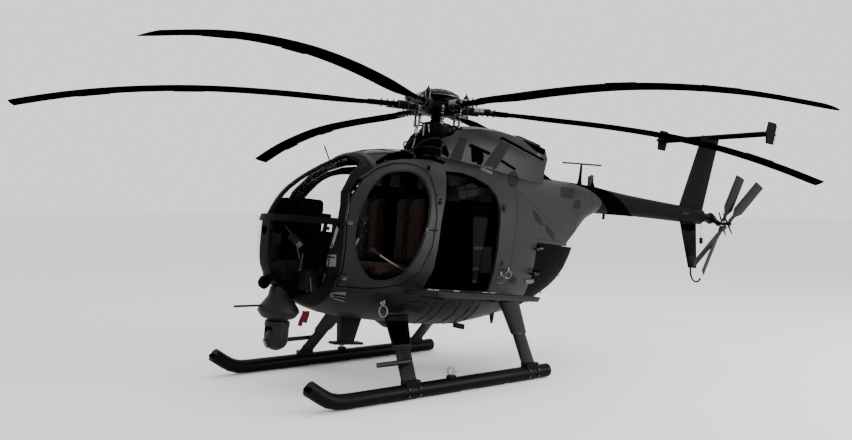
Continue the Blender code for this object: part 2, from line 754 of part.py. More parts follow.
def wing_ring(centre, chord, thick, across, up, points=10):
    """A wing section: chord along X from its leading edge, thick along the direction across."""
    ring = []
    for i in range(points):
        angle = 2 * math.pi * i / points
        along = -chord * (0.5 - 0.5 * math.cos(angle))
        width = 0.5 * thick * math.sin(angle) * (1.15 - 0.5 * (0.5 - 0.5 * math.cos(angle)))
        ring.append(tuple(Vector(centre) + Vector((along, 0, 0)) + Vector(across) * width + Vector(up) * 0))
    return ring


def fins():
    upper = loft(
        "upper_fin",
        [
            wing_ring((-4.03, 0, BOOM_Z + 0.02), 0.53, 0.050, (0, 1, 0), (0, 0, 1)),
            wing_ring((-4.46, 0, STAB_Z), 0.39, 0.040, (0, 1, 0), (0, 0, 1)),
        ],
        "hull_paint",
    )
    cut(smooth(upper), boom_grown(), loft("stabiliser_seat", stab_rings(0.4, GAP)))
    lower = loft(
        "ventral_fin",
        [
            wing_ring((-4.07, 0, BOOM_Z - 0.02), 0.38, 0.045, (0, 1, 0), (0, 0, 1)),
            wing_ring((-4.35, 0, 1.28), 0.19, 0.030, (0, 1, 0), (0, 0, 1)),
        ],
        "hull_paint",
    )
    cut(smooth(lower), bpy.data.objects["boom_grown"])
    bend = ((-4.40, 1.32), (-4.415, 1.20), (-4.46, 1.13), (-4.53, 1.10), (-4.60, 1.11), (-4.64, 1.15))
    join(lower, tube("skid_hook", [(x, 0.001, z) for x, z in bend], 0.012))
    half = STAB_SPAN / 2
    stab = smooth(loft("stabiliser", stab_rings(half, 0.0), "hull_paint"))
    for side, word in ((1, "port"), (-1, "starboard")):
        outline = [(-4.66, 3.21), (-4.81, 3.21), (-4.84, 3.18), (-4.78, 2.93), (-4.63, 2.93), (-4.62, 3.08)]
        join(stab, slab("end_plate_" + word, outline, side * half - 0.010, side * half + 0.010))


def stab_rings(half, grow):
    """The stabiliser's sections at -half and half, grown all round by a little."""
    chord = 0.30 + 2 * grow
    thick = 0.050 + 3 * grow
    return [wing_ring((-4.56 + grow, y, STAB_Z), chord, thick, (0, 0, 1), (0, 1, 0)) for y in (-half, half)]


def boom_grown():
    """The boom a hair larger, which trims what stands on it."""
    start, radius = BOOM_PROFILE[0]
    end, radius_end = BOOM_PROFILE[-1]
    profile = [(0.0, 0.0)] + [(r + GAP, x - start) for x, r in BOOM_PROFILE] + [(0.0, end - start)]
    grown = turned("boom_grown", profile, steps=20, start=math.pi / 20)
    grown.location = (start, 0.0, BOOM_Z)
    grown.rotation_euler = (0.0, math.pi / 2, 0.0)
    return grown


def tail_rotor():
    hub_x, hub_y, hub_z = TAIL_HUB
    gearbox = ball("tail_gearbox", (GEARBOX_X, 0, BOOM_Z), GEARBOX_R, "hull_paint")
    neck = rod("gearbox_neck", (-4.6003, 0, BOOM_Z), (GEARBOX_X, 0, BOOM_Z), 0.06)
    cone = rod(
        "gearbox_cone", (GEARBOX_X, 0.03, BOOM_Z), (hub_x, hub_y - 0.100, hub_z), 0.055, radius_end=0.028
    )
    seat_y = hub_y - 0.080
    boss = rod("gearbox_boss", (hub_x, hub_y - 0.125, hub_z), (hub_x, seat_y - GAP, hub_z), 0.032)
    join(gearbox, neck, cone, boss)
    pivot = empty("tail_rotor_axis", TAIL_HUB, LEVEL)
    shaft = rod("tail_rotor_hub", (hub_x, seat_y, hub_z), (hub_x, hub_y + 0.075, hub_z), 0.022, "dark_paint")
    hang(shaft, pivot)
    for pair, (angle, offset, lean) in enumerate(((32, -0.045, -3.2), (43, 0.035, 7)), 1):
        rings = []
        for end in (-1, 1):
            rings += [tail_ring(end, *section) for section in TAIL_SECTIONS[::end]]
        blades = smooth(loft(f"tail_blades_{pair}", rings))
        set_blade(blades, angle, offset, lean)
        join(shaft, blades)


def tail_ring(end, reach, chord, thick, pitch, points=8):
    """A tail blade's section, pitched the same way as the one on the other side turns past."""
    turn = Matrix.Rotation(end * pitch, 3, "Z")
    ring = []
    for i in range(points):
        angle = 2 * math.pi * i / points
        place = Vector((0.5 * chord * math.cos(angle), 0.5 * thick * math.sin(angle), end * reach))
        ring.append(turn @ place)
    return ring


def set_blade(obj, angle, offset, lean):
    """Turns a piece drawn along Z about the tail rotor's axis, and moves it along that axis."""
    hub_x, hub_y, hub_z = TAIL_HUB
    obj.location = (hub_x, hub_y + offset, hub_z)
    tilt = Matrix.Rotation(-math.radians(lean), 3, "X")
    obj.rotation_euler = (Matrix.Rotation(-math.radians(angle), 3, "Y") @ tilt).to_euler()


# Main rotor


def blade_height(reach):
    """Height of a blade's axis, which hangs under its own weight."""
    return ROTOR_Z - BLADE_DROOP * max(0.0, reach - DROOP_START) ** DROOP_POWER


def blade_ring(reach, chord, thick, points=10):
    """One blade section, with its leading edge towards +Y and its quarter chord on the blade's axis."""
    ring = []
    for i in range(points):
        angle = 2 * math.pi * i / points
        along = chord * (0.25 - (0.5 - 0.5 * math.cos(angle)))
        fat = 1.3 - 0.8 * (0.5 - 0.5 * math.cos(angle))
        ring.append((reach, along, blade_height(reach) + 0.5 * thick * fat * math.sin(angle)))
    return ring


def arm_ring(reach, height, points=10):
    """A round section of a hub arm, upright across the blade's axis."""
    angles = [2 * math.pi * i / points for i in range(points)]
    return [(reach, ARM_R * math.cos(angle), height + ARM_R * math.sin(angle)) for angle in angles]


def main_rotor():
    pivot = empty("main_rotor_axis", (0, 0, HUB_HEIGHT), LEVEL)
    for number in range(BLADES):
        turn = BLADE_FIRST - number * 2 * math.pi / BLADES
        rings = [
            blade_ring(BLADE_ROOT, 0.10, 0.060),
            blade_ring(0.62, 0.11, 0.050),
            blade_ring(0.80, BLADE_CHORD, 0.026),
            blade_ring(1.60, BLADE_CHORD, 0.022),
            blade_ring(2.30, BLADE_CHORD, 0.021),
            blade_ring(2.95, BLADE_CHORD, 0.020),
            blade_ring(3.55, BLADE_CHORD, 0.020),
            blade_ring(ROTOR_R, BLADE_CHORD, 0.018),
        ]
        blade = smooth(loft(f"main_rotor_blade_{number + 1}", rings, "rotor_black"))
        blade.rotation_euler = (0, 0, turn)
        hang(blade, pivot)
    hub = turned("main_rotor_hub", [(r, ROTOR_Z + z) for r, z in HUB_PROFILE], "rotor_black", steps=18)
    hang(hub, pivot)
    for number in range(BLADES):
        turn = BLADE_FIRST - number * 2 * math.pi / BLADES
        out = Vector((math.cos(turn), math.sin(turn), 0))
        side = Vector((-math.sin(turn), math.cos(turn), 0))
        axis = Vector((0, 0, ROTOR_Z))
        arm = loft(f"hub_arm_{number}", [arm_ring(0.12, ROTOR_Z), arm_ring(BLADE_ROOT - GAP, ROTOR_Z)])
        arm.rotation_euler = (0, 0, turn)
        horn_end = axis + out * LINK_OUT + side * LINK_SIDE + Vector((0, 0, -0.020))
        horn = rod(f"pitch_horn_{number}", axis + out * 0.25, horn_end, 0.018, sides=6)
        ring = axis + Vector((0, 0, (RING_TOP + RING_BASE) / 2))
        link_foot = ring + out * LINK_OUT + side * LINK_SIDE
        link = rod(f"pitch_link_{number}", horn_end, link_foot, 0.012, sides=6)
        ring_horn = rod(f"ring_horn_{number}", ring, link_foot.lerp(ring, -0.04), 0.009, sides=6)
        beside = axis - side * DAMPER_SIDE
        damper = rod(f"damper_{number}", beside + out * 0.335, beside + out * 0.515, 0.024, sides=8)
        bracket = rod(f"damper_bracket_{number}", axis + out * 0.375, beside + out * 0.375, 0.015, sides=6)
        join(hub, arm, horn, link, ring_horn, damper, bracket)
        if number % 2 == 0:
            foot = axis + out * POST_OUT
            head = foot + Vector((0, 0, 0.130))
            tip = head + Vector((0, 0, 0.035))
            cap = rod(f"post_cap_{number}", head, tip, 0.030, sides=8, radius_end=0.004)
            join(hub, rod(f"post_{number}", foot, head + Vector((0, 0, 0.005)), 0.020, sides=8), cap)


def mast_base():
    """Fixed mast support between the roof and the rotor."""
    top = ROTOR_Z + RING_BASE
    base = turned(
        "mast_base",
        (
            (0.0, top - GAP), (0.06, top - GAP), (0.06, top - 0.008), (0.15, top - 0.008), (0.17, top - 0.06),
            (0.14, top - 0.12), (0.16, 2.12), (0.0, 2.12),
        ),
        "cabin_black",
    )
    cut(base, POD_GROWN)


# Landing gear


def landing_gear():
    for side, word in ((1, "port"), (-1, "starboard")):
        y = side * SKID_Y
        line = [(SKID_REAR, y, SKID_R), (1.66, y, SKID_R), (1.74, y, SKID_R + 0.006)]
        line += [(1.82, y, SKID_R + 0.030), (1.89, y, SKID_R + 0.072), (SKID_TIP[0], y, SKID_TIP[1])]
        skid = tube("skid_" + word, line, SKID_R, "hull_paint", ORIGIN, sides=4)
        for number, (foot_x, top, place) in enumerate(zip(STRUT_X, STRUT_TOP, ("front", "rear"))):
            lug_low = (foot_x - 0.075, y - 0.045, SKID_R)
            lug_high = (foot_x + 0.075, y + 0.045, 2 * SKID_R + 0.03)
            lug = box(f"lug_{place}_{word}", lug_low, lug_high, parent=ORIGIN)
            join(skid, lug)
            foot = Vector((foot_x, y - side * STRUT_INSET, 2 * SKID_R + 0.03 + GAP))
            head = Vector((top[0], side * top[1], top[2]))
            strut = loft(
                f"strut_{place}_{word}",
                [strut_ring(foot, 1.0), strut_ring(foot.lerp(head, 0.45), 1.0)]
                + [strut_ring(foot.lerp(head, 0.46), 1.2), strut_ring(head, 1.6)],
                "hull_paint",
                ORIGIN,
            )
            cut(smooth(strut), POD_GROWN)
            if place == "front":
                ends = [(x, side * STEP_Y, STEP_Z) for x in STEP_X]
                join(strut, rod("step_" + word, *ends, 0.022, parent=ORIGIN))
        ring_low = (TOW_RING_X - 0.035, y - 0.030, SKID_R)
        ring_high = (TOW_RING_X + 0.035, y + 0.030, 2 * SKID_R + 0.02)
        join(skid, box("tow_block_" + word, ring_low, ring_high, parent=ORIGIN))


def strut_ring(centre, scale, points=12):
    ring = []
    for i in range(points):
        angle = 2 * math.pi * i / points
        along = 0.5 * STRUT_CHORD * scale * math.cos(angle)
        across = 0.5 * STRUT_THICK * scale * math.sin(angle)
        ring.append((centre[0] + along, centre[1] + across, centre[2]))
    return ring


def benches():
    for side, word in ((1, "port"), (-1, "starboard")):
        outline = mirrored(BENCH_OUTLINE, side)
        board = slab("bench_" + word, outline, BENCH_Z - 0.045, BENCH_Z, "XY", "dark_paint")
        for x in (0.45, -0.15):
            near, far = span(side, 0.3, 0.95)
            arm_z = BENCH_Z - 0.070
            join(board, box("bench_arm", (x - 0.03, near, arm_z), (x + 0.03, far, arm_z + 0.05)))
        cut(board, POD_GROWN)


# Sensor turret


def turret():
    mount = turned(
        "turret_mount",
        (
            (0.0, 0.775), (0.090, 0.775), (0.105, 0.69), (0.18, 0.585), (0.187, 0.552), (0.10, 0.535),
            (0.09, TURRET_NECK_Z), (0.0, TURRET_NECK_Z),
        ),
        "hull_paint",
    )
    mount.location = (TURRET_X, 0, 0)
    cut(mount, POD_GROWN)
    join(mount, rod("nose_probe", (1.74, 0, 0.603), (2.03, 0, 0.585), 0.010, sides=8))
    pan = empty("turret_pan_axis", (TURRET_X, 0, 0.47), LEVEL)
    yoke = turned(
        "turret_yoke",
        (
            (0.0, TURRET_NECK_Z - GAP), (0.098, TURRET_NECK_Z - GAP), (TURRET_R, 0.462), (TURRET_R, TURRET_Z),
            (0.106, 0.272), (0.090, 0.238), (0.0, 0.238),
        ),
        "hull_paint",
    )
    yoke.location = (TURRET_X, 0, 0)
    hang(yoke, pan)
    cut(yoke, box("yoke_slot", (1.4, -TURRET_SLOT, 0.0), (1.8, TURRET_SLOT, 0.422)))
    tilt = empty("turret_tilt_axis", (0, 0, TURRET_Z - 0.47), pan)
    eye = ball("turret_ball", (TURRET_X, 0, TURRET_Z), 0.105, "dark_paint", segments=20)
    keep_inside(eye, box("turret_ball_sides", (1.4, -0.069, 0.0), (1.8, 0.069, 0.6)))
    reach = TURRET_SLOT - GAP
    join(eye, rod("turret_pin", (TURRET_X, -reach, TURRET_Z), (TURRET_X, reach, TURRET_Z), 0.020))
    eye.parent = tilt
    eye.matrix_parent_inverse = (pan.matrix_basis @ tilt.matrix_basis).inverted()


# Cabin


def cabin_inside():
    floor = box("cabin_floor", (-0.95, -0.7, FLOOR_Z), (1.50, 0.7, FLOOR_Z + FLOOR_THICK), "cabin_black")
    keep_inside(floor, POD_ROOM)
    top = FLOOR_Z + FLOOR_THICK
    seat_box = box("seat_base", (0.40, -0.56, top + GAP), (0.98, 0.56, 0.93), "cabin_black")
    join(seat_box, box("seat_bulkhead", (0.385, -0.7, top + GAP), (0.415, 0.7, 1.72)))
    keep_inside(seat_box, POD_ROOM)
    for side, word in ((1, "port"), (-1, "starboard")):
        outline = inset_outline(DOOR_OUTLINE, -0.008)
        cut(seat_box, slab("door_room_" + word, outline, *span(side, 0.53, WIDE)))
    for side, word in ((1, "port"), (-1, "starboard")):
        middle = side * SEAT_Y
        box(
            "seat_cushion_" + word,
            (0.53, middle - 0.21, 0.93 + GAP),
            (1.00, middle + 0.21, 1.06),
            "seat_fabric",
            bevel=0.03,
        )
        back = box(
            "seat_back_" + word,
            (0.415 + GAP, middle - 0.20, 1.065),
            (0.52, middle + 0.20, 1.68),
            "seat_fabric",
            bevel=0.03,
        )
        keep_inside(back, POD_ROOM)
    low = (1.20, -0.17, top + GAP)
    console = box("instrument_console", low, (1.55, 0.17, 1.30), "cabin_black", bevel=0.02)
    hood = box("console_hood", (1.24, -0.30, 1.25), (1.62, 0.30, 1.575), bevel=0.04)
    join(console, hood)
    keep_inside(console, POD_ROOM)
    cabinet = box("rear_cabinet", (-0.80, -0.50, top + GAP), (-0.50, 0.50, 1.60), "cabin_black")
    keep_inside(cabinet, POD_ROOM)


def outside_fittings():
    """Nose lamp, belly sensor box and the antenna on the tail."""
    lamp = ball("nose_lamp", (1.764, 0, 0.815), 0.046, "clear_glazing", segments=12)
    join(lamp, rod("nose_lamp_foot", (1.68, 0, 0.870), (1.757, 0, 0.820), 0.041))
    cut(lamp, POD_GROWN)
    sensor = slab("belly_sensor", SENSOR_BOX, -0.035, 0.035, "XZ", "dark_paint")
    join(sensor, slab("sensor_plate", SENSOR_PLATE, -0.055, 0.055))
    cut(sensor, POD_GROWN)
    aerial = rod("boom_antenna", (-2.17, 0, 2.05), (-2.17, 0, 2.38), 0.014, "dark_paint", sides=8)
    join(aerial, rod("boom_antenna_bar", (-1.86, 0.0, 2.372), (-2.51, 0.0, 2.372), 0.010, sides=8))
    cut(aerial, POD_GROWN)


FRAME = canopy()
cabin()
for sign, label in ((1, "port"), (-1, "starboard")):
    front_door(sign, label, FRAME)
rear_fuselage()
firewall_and_engine()
cowl()
boom()
fins()
tail_rotor()
main_rotor()
mast_base()
landing_gear()
benches()
turret()
cabin_inside()
outside_fittings()
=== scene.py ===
"""Finished look of the parked helicopter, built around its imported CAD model."""
import json
import math

import bmesh
import bpy
import numpy as np
from mathutils import Matrix, Vector, geometry
from mathutils.bvhtree import BVHTree

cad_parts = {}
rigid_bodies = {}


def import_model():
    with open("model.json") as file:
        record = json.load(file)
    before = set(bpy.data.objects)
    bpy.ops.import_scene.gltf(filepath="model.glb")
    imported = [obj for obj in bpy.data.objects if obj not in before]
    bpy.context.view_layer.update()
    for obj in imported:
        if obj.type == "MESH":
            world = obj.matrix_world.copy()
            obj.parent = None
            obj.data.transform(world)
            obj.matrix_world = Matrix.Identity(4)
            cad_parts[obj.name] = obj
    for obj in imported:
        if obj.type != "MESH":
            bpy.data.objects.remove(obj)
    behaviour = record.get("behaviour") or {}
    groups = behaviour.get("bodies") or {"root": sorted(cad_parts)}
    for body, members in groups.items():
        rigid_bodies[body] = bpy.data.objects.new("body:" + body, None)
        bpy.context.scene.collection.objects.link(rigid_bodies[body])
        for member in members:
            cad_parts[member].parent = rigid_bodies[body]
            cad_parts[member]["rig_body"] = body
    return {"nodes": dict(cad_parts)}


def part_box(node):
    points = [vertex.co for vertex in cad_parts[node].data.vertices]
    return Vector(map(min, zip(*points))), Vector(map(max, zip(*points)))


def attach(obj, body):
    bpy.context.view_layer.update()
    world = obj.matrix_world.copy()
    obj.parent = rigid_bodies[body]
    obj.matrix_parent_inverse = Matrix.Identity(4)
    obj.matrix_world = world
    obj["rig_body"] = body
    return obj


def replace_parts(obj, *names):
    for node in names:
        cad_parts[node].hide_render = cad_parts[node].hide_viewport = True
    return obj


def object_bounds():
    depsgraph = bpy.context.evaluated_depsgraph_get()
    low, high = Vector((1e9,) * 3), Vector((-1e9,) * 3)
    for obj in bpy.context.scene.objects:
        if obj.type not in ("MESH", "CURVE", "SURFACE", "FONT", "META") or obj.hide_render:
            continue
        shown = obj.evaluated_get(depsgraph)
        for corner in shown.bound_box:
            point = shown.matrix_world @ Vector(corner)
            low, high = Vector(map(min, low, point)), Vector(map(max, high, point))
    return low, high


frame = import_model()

CAD_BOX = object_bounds()
NODES = frame["nodes"]
SIDES = (("port", 1), ("starboard", -1))

# How far the airframe stands nose up, and the point of the mast about which it is turned
PITCH = math.radians(5.5)
HUB_HEIGHT = 2.573
MAST_X = 0.7760


def level(x, y, z):
    """A point of the airframe's level frame, whose z runs up the mast, in the row frame."""
    up = z - HUB_HEIGHT
    return Vector((
        x * math.cos(PITCH) - up * math.sin(PITCH) + MAST_X,
        y,
        x * math.sin(PITCH) + up * math.cos(PITCH) + HUB_HEIGHT,
    ))


def to_level(point):
    """The airframe coordinates of a point of the row frame."""
    x, up = point.x - MAST_X, point.z - HUB_HEIGHT
    return Vector((
        x * math.cos(PITCH) + up * math.sin(PITCH), point.y,
        up * math.cos(PITCH) - x * math.sin(PITCH) + HUB_HEIGHT,
    ))


def turn(x, y, z):
    """A direction of the airframe's level frame in the row frame."""
    return (level(x, y, z) - level(0, 0, 0)).normalized()


def ground(x, y, z):
    """A point given from the mast along the ground, in the row frame."""
    return Vector((x + MAST_X, y, z))


# The airframe's own axes, and the orders in which a block takes them as its length, width and depth
FORE, PORT, MAST = AXES = (turn(1, 0, 0), turn(0, 1, 0), turn(0, 0, 1))
AFT, STARBOARD, DOWN = (turn(-1, 0, 0), turn(0, -1, 0), turn(0, 0, -1))
FACING_AFT = (PORT, MAST, FORE)
UPRIGHT = (MAST, FORE, PORT)
ACROSS = (PORT, FORE, MAST)


# Camera at the photograph's viewing angle
IMAGE_W = 852
IMAGE_H = 440
FOCAL = 846.39
SENSOR = 36.0
CAMERA_AT = Vector((6.0730, 6.7996, 1.6703))
YAW = math.radians(232.81)
TILT = math.radians(-1.00)
ROLL = math.radians(0.35)
AHEAD = Vector((math.cos(TILT) * math.cos(YAW), math.cos(TILT) * math.sin(YAW), math.sin(TILT)))
LEVEL_RIGHT = Vector((math.sin(YAW), -math.cos(YAW), 0.0))
LEVEL_UP = LEVEL_RIGHT.cross(AHEAD)
RIGHT = LEVEL_RIGHT * math.cos(ROLL) + LEVEL_UP * math.sin(ROLL)
UP = RIGHT.cross(AHEAD)


def placed(name, data):
    """A new object of the scene that holds some data."""
    obj = bpy.data.objects.new(name, data)
    bpy.context.scene.collection.objects.link(obj)
    return obj


def add_camera():
    data = bpy.data.cameras.new("camera")
    data.sensor_width = SENSOR
    data.lens = FOCAL / IMAGE_W * SENSOR
    data.clip_start = 0.1
    data.clip_end = 500
    camera = placed("camera", data)
    turned = Matrix((RIGHT, UP, -AHEAD)).transposed()
    camera.matrix_world = Matrix.Translation(CAMERA_AT) @ turned.to_4x4()
    bpy.context.scene.camera = camera


add_camera()


# Materials
class Nodes:
    """Builds one node material; each step returns a socket."""

    def __init__(self, name):
        self.material = bpy.data.materials.new(name)
        self.material.use_nodes = True
        self.tree = self.material.node_tree
        self.shader = self.tree.nodes["Principled BSDF"]
        self.place = self.tree.nodes.new("ShaderNodeTexCoord").outputs["Object"]

    def link(self, source, target):
        self.tree.links.new(source, target)

    def stretched(self, scale):
        node = self.tree.nodes.new("ShaderNodeMapping")
        node.inputs["Scale"].default_value = scale
        self.link(self.place, node.inputs["Vector"])
        return node.outputs["Vector"]

    def noise(self, scale, detail=4.0, rough=0.55, stretch=None):
        node = self.tree.nodes.new("ShaderNodeTexNoise")
        node.inputs["Scale"].default_value = scale
        node.inputs["Detail"].default_value = detail
        node.inputs["Roughness"].default_value = rough
        self.link(self.stretched(stretch) if stretch else self.place, node.inputs["Vector"])
        return node.outputs["Fac"]

    def wave(self, scale, direction, distortion):
        node = self.tree.nodes.new("ShaderNodeTexWave")
        node.bands_direction = direction
        node.inputs["Scale"].default_value = scale
        node.inputs["Distortion"].default_value = distortion
        self.link(self.place, node.inputs["Vector"])
        return node.outputs["Fac"]

    def cells(self, scale):
        node = self.tree.nodes.new("ShaderNodeTexVoronoi")
        node.inputs["Scale"].default_value = scale
        self.link(self.place, node.inputs["Vector"])
        return node.outputs["Distance"]

    def ramp(self, source, low, high, start=0.0, end=1.0):
        node = self.tree.nodes.new("ShaderNodeMapRange")
        node.inputs["From Min"].default_value = low
        node.inputs["From Max"].default_value = high
        node.inputs["To Min"].default_value = start
        node.inputs["To Max"].default_value = end
        self.link(source, node.inputs["Value"])
        return node.outputs["Result"]

    def maths(self, operation, first, second):
        node = self.tree.nodes.new("ShaderNodeMath")
        node.operation = operation
        for socket, value in zip(node.inputs, (first, second)):
            if isinstance(value, (int, float)):
                socket.default_value = value
            else:
                self.link(value, socket)
        return node.outputs["Value"]

    def mix(self, amount, first, second):
        node = self.tree.nodes.new("ShaderNodeMix")
        node.data_type = "RGBA"
        self.link(amount, node.inputs["Factor"])
        for key, value in (("A", first), ("B", second)):
            socket = next(s for s in node.inputs if s.name == key and s.type == "RGBA")
            if isinstance(value, tuple):
                socket.default_value = value + (1.0,)
            else:
                self.link(value, socket)
        return next(s for s in node.outputs if s.type == "RGBA")

    def bump(self, height, strength, distance=0.002):
        node = self.tree.nodes.new("ShaderNodeBump")
        node.inputs["Strength"].default_value = strength
        node.inputs["Distance"].default_value = distance
        self.link(height, node.inputs["Height"])
        self.link(node.outputs["Normal"], self.shader.inputs["Normal"])

    def colour(self, source):
        self.link(source, self.shader.inputs["Base Color"])

    def rough(self, source):
        self.link(source, self.shader.inputs["Roughness"])

    def fixed(self, **values):
        for key, value in values.items():
            self.shader.inputs[key.replace("_", " ")].default_value = value


def scaled(colour, factor):
    """A colour made lighter or darker."""
    return tuple(min(1.0, c * factor) for c in colour)


def paint(name, colour, rough, wear=None, mottle=0.22, peel=0.10, streak=0.15, gloss=0.10):
    """Matt paint with slow mottling, dirt streaks down the sides, fine grain and a few rubbed spots."""
    n = Nodes(name)
    slow = n.noise(2.3, 5.0, 0.6)
    fine = n.noise(55.0, 3.0, 0.6)
    down = n.noise(9.0, 3.0, 0.6, stretch=(1.0, 1.0, 0.16))
    tone = n.maths("ADD", slow, n.maths("MULTIPLY", fine, 0.35))
    base = n.mix(n.ramp(tone, 0.45, 0.95), scaled(colour, 1.0 - mottle), scaled(colour, 1.0 + mottle))
    base = n.mix(n.ramp(down, 0.52, 0.75, 0.0, streak), base, scaled(colour, 0.45))
    if wear:
        spots = n.noise(38.0, 6.0, 0.72)
        base = n.mix(n.ramp(spots, 0.66, 0.72, 0.0, 0.8), base, wear)
    n.colour(base)
    n.rough(n.ramp(tone, 0.4, 1.0, rough - 0.07, rough + 0.10))
    n.fixed(Specular_IOR_Level=gloss)
    n.bump(n.noise(420.0, 2.0, 0.5), peel)
    return n.material


def rubber(name, colour):
    """Dull black rubber with a fine grain."""
    rough = 0.62
    n = Nodes(name)
    grain = n.cells(700.0)
    n.colour(n.mix(n.noise(12.0, 4.0), scaled(colour, 0.7), scaled(colour, 1.35)))
    n.rough(n.ramp(n.noise(30.0), 0.3, 0.7, rough - 0.08, rough + 0.1))
    n.fixed(Specular_IOR_Level=0.15)
    n.bump(grain, 0.2)
    return n.material


def steel(name, colour, rough=0.34, metal=0.9):
    """Bare metal, a little brushed and stained."""
    n = Nodes(name)
    n.colour(n.mix(n.noise(26.0, 6.0, 0.65), scaled(colour, 0.62), scaled(colour, 1.12)))
    n.rough(n.ramp(n.noise(120.0, 4.0, 0.6, stretch=(1.0, 1.0, 0.2)), 0.3, 0.7, rough - 0.1, rough + 0.14))
    n.fixed(Metallic=metal)
    n.bump(n.noise(300.0, 3.0, 0.6), 0.12)
    return n.material


def cloth(name, colour, threads=900.0, sheen=0.25, strength=0.5):
    """Woven cloth: two sets of threads crossing, with faded and dirty places."""
    n = Nodes(name)
    over = n.wave(threads, "Y", 0.6)
    under = n.wave(threads, "Z", 0.6)
    weave = n.maths("MAXIMUM", over, under)
    worn = n.mix(n.noise(9.0, 5.0, 0.6), scaled(colour, 0.70), scaled(colour, 1.35))
    n.colour(n.mix(n.ramp(weave, 0.2, 0.9, 0.0, 0.5), worn, scaled(colour, 0.62)))
    n.rough(n.ramp(n.noise(60.0), 0.3, 0.7, 0.78, 0.95))
    n.fixed(Sheen_Weight=sheen, Sheen_Roughness=0.5, Specular_IOR_Level=0.1)
    n.bump(weave, strength, 0.0008)
    return n.material


def glass(name, colour, alpha, rough=0.04, gloss=0.5):
    """Tinted glazing with faint smears; alpha is how much of the view behind it is covered."""
    n = Nodes(name)
    n.fixed(Specular_IOR_Level=gloss)
    smear = n.noise(6.0, 5.0, 0.65, stretch=(1.0, 1.0, 0.4))
    n.colour(n.mix(smear, scaled(colour, 0.8), scaled(colour, 1.3)))
    n.rough(n.ramp(smear, 0.3, 0.8, rough, rough + 0.10))
    n.link(n.ramp(smear, 0.35, 0.8, alpha, alpha + 0.05), n.shader.inputs["Alpha"])
    n.bump(n.noise(3.0, 2.0), 0.04, 0.001)
    return n.material


HULL = paint("hull_grey", (0.0068, 0.0067, 0.0064), 0.46, wear=(0.016, 0.0155, 0.0145),
             mottle=0.30, streak=0.40, gloss=0.16)
# Hull paint made lighter: painted light on the cowl, and painted highlights on the door window rims and door edge
# strips; also the grey of the pale bands round the struts
HULL_GREY_LIT = paint("hull_grey_painted_light", (0.0092, 0.0091, 0.0087), 0.44, wear=(0.022, 0.0215, 0.020),
                  mottle=0.30, streak=0.35, gloss=0.16)
# Hull paint made darker: painted shade on the boom, fins and stabiliser
TAIL_SHADED_GREY = paint("tail_grey", (0.0030, 0.0029, 0.0027), 0.52, wear=(0.010, 0.0095, 0.009),
                  mottle=0.30, streak=0.3, gloss=0.03)
# Hull paint made darker: painted shade on the canopy frame; also the grey of the nose equipment
FRAME_SHADED_GREY = paint("hull_grey_painted_shade_canopy", (0.0036, 0.0035, 0.0033), 0.50, wear=(0.012, 0.0115, 0.011),
                   mottle=0.25, streak=0.2, gloss=0.03)
# Hull paint made much darker: painted shade on the engine doors; also the nose lamp's globe
HATCH_SHADED_GREY = paint("hull_grey_painted_deep_shade", (0.0016, 0.0015, 0.0013), 0.54, wear=(0.008, 0.0075, 0.007),
                   mottle=0.5, streak=0.5, gloss=0.01)
# Hull paint made darker: painted shade on the struts
STRUT_SHADED_GREY = paint("struts_painted_shade_grey", (0.0030, 0.0029, 0.0028), 0.42, wear=(0.02, 0.019, 0.018),
                   mottle=0.4, streak=0.3, gloss=0.2)
PANEL_GREY = paint("panel_grey", (0.024, 0.0235, 0.022), 0.6, wear=(0.04, 0.038, 0.036), mottle=0.5, streak=0.5)
DUCT_GREY = paint("duct_grey", (0.085, 0.082, 0.077), 0.55, wear=(0.11, 0.106, 0.10), streak=0.3)
# Stained hull paint: soot on the exhaust, dark seams and the boom's blade antenna, and also painted shade in the dark
# patches below the door
HULL_DARK = paint("hull_stain_and_shade", (0.0042, 0.0038, 0.0033), 0.56, wear=(0.010, 0.009, 0.0075),
                  mottle=0.45, streak=0.5)
PATCH = paint("patch_grey", (0.0042, 0.0042, 0.0040), 0.60, streak=0.1)
BLACK = paint("black_paint", (0.0008, 0.0008, 0.0008), 0.60, streak=0.05, gloss=0.0)
INSIDE = paint("cabin_black", (0.0022, 0.0022, 0.0022), 0.70, wear=(0.005, 0.005, 0.005), peel=0.2, gloss=0.0)
PALE = paint("pale_trim", (0.060, 0.059, 0.056), 0.45, streak=0.3, gloss=0.3)
ROTOR = paint("rotor_black", (0.0008, 0.0007, 0.0007), 0.50, wear=(0.0024, 0.0022, 0.0021), streak=0.05, gloss=0.0)
TAIL_ROTOR = paint("tail_rotor_grey", (0.010, 0.0098, 0.0095), 0.52, streak=0.1)
# Hull paint made darker and browner for the skids: painted shade, with a brown patina
SKID = paint("skids_painted_shade_grey", (0.0019, 0.0017, 0.0015), 0.40, wear=(0.012, 0.011, 0.010),
             mottle=0.5, streak=0.3, gloss=0.06)
HUB_METAL = paint("hub_metal", (0.0014, 0.0014, 0.0013), 0.42, wear=(0.010, 0.010, 0.009), streak=0.2, gloss=0.05)
BRIGHT = steel("bright_metal", (0.20, 0.195, 0.19))
DULL = steel("dull_metal", (0.045, 0.043, 0.040), 0.45, 0.7)
RUBBER = rubber("black_rubber", (0.0012, 0.0012, 0.0012))
SEAT_CLOTH = cloth("seat_cloth", (0.016, 0.0080, 0.0048), sheen=0.02)
WEBBING = cloth("harness_webbing", (0.0010, 0.0010, 0.0013), 1500.0, 0.0, 0.7)
RED_TAPE = cloth("red_tape", (0.13, 0.006, 0.009), 700.0)
GLAZING = glass("clear_glazing", (0.002, 0.0021, 0.0021), 0.02, 0.10, 0.0)
ROOF_GLASS = glass("dark_roof_glazing", (0.0010, 0.0011, 0.0012), 1.0, 0.12, 0.03)
POLISHED = steel("polished_steel", (0.34, 0.335, 0.32), 0.3)
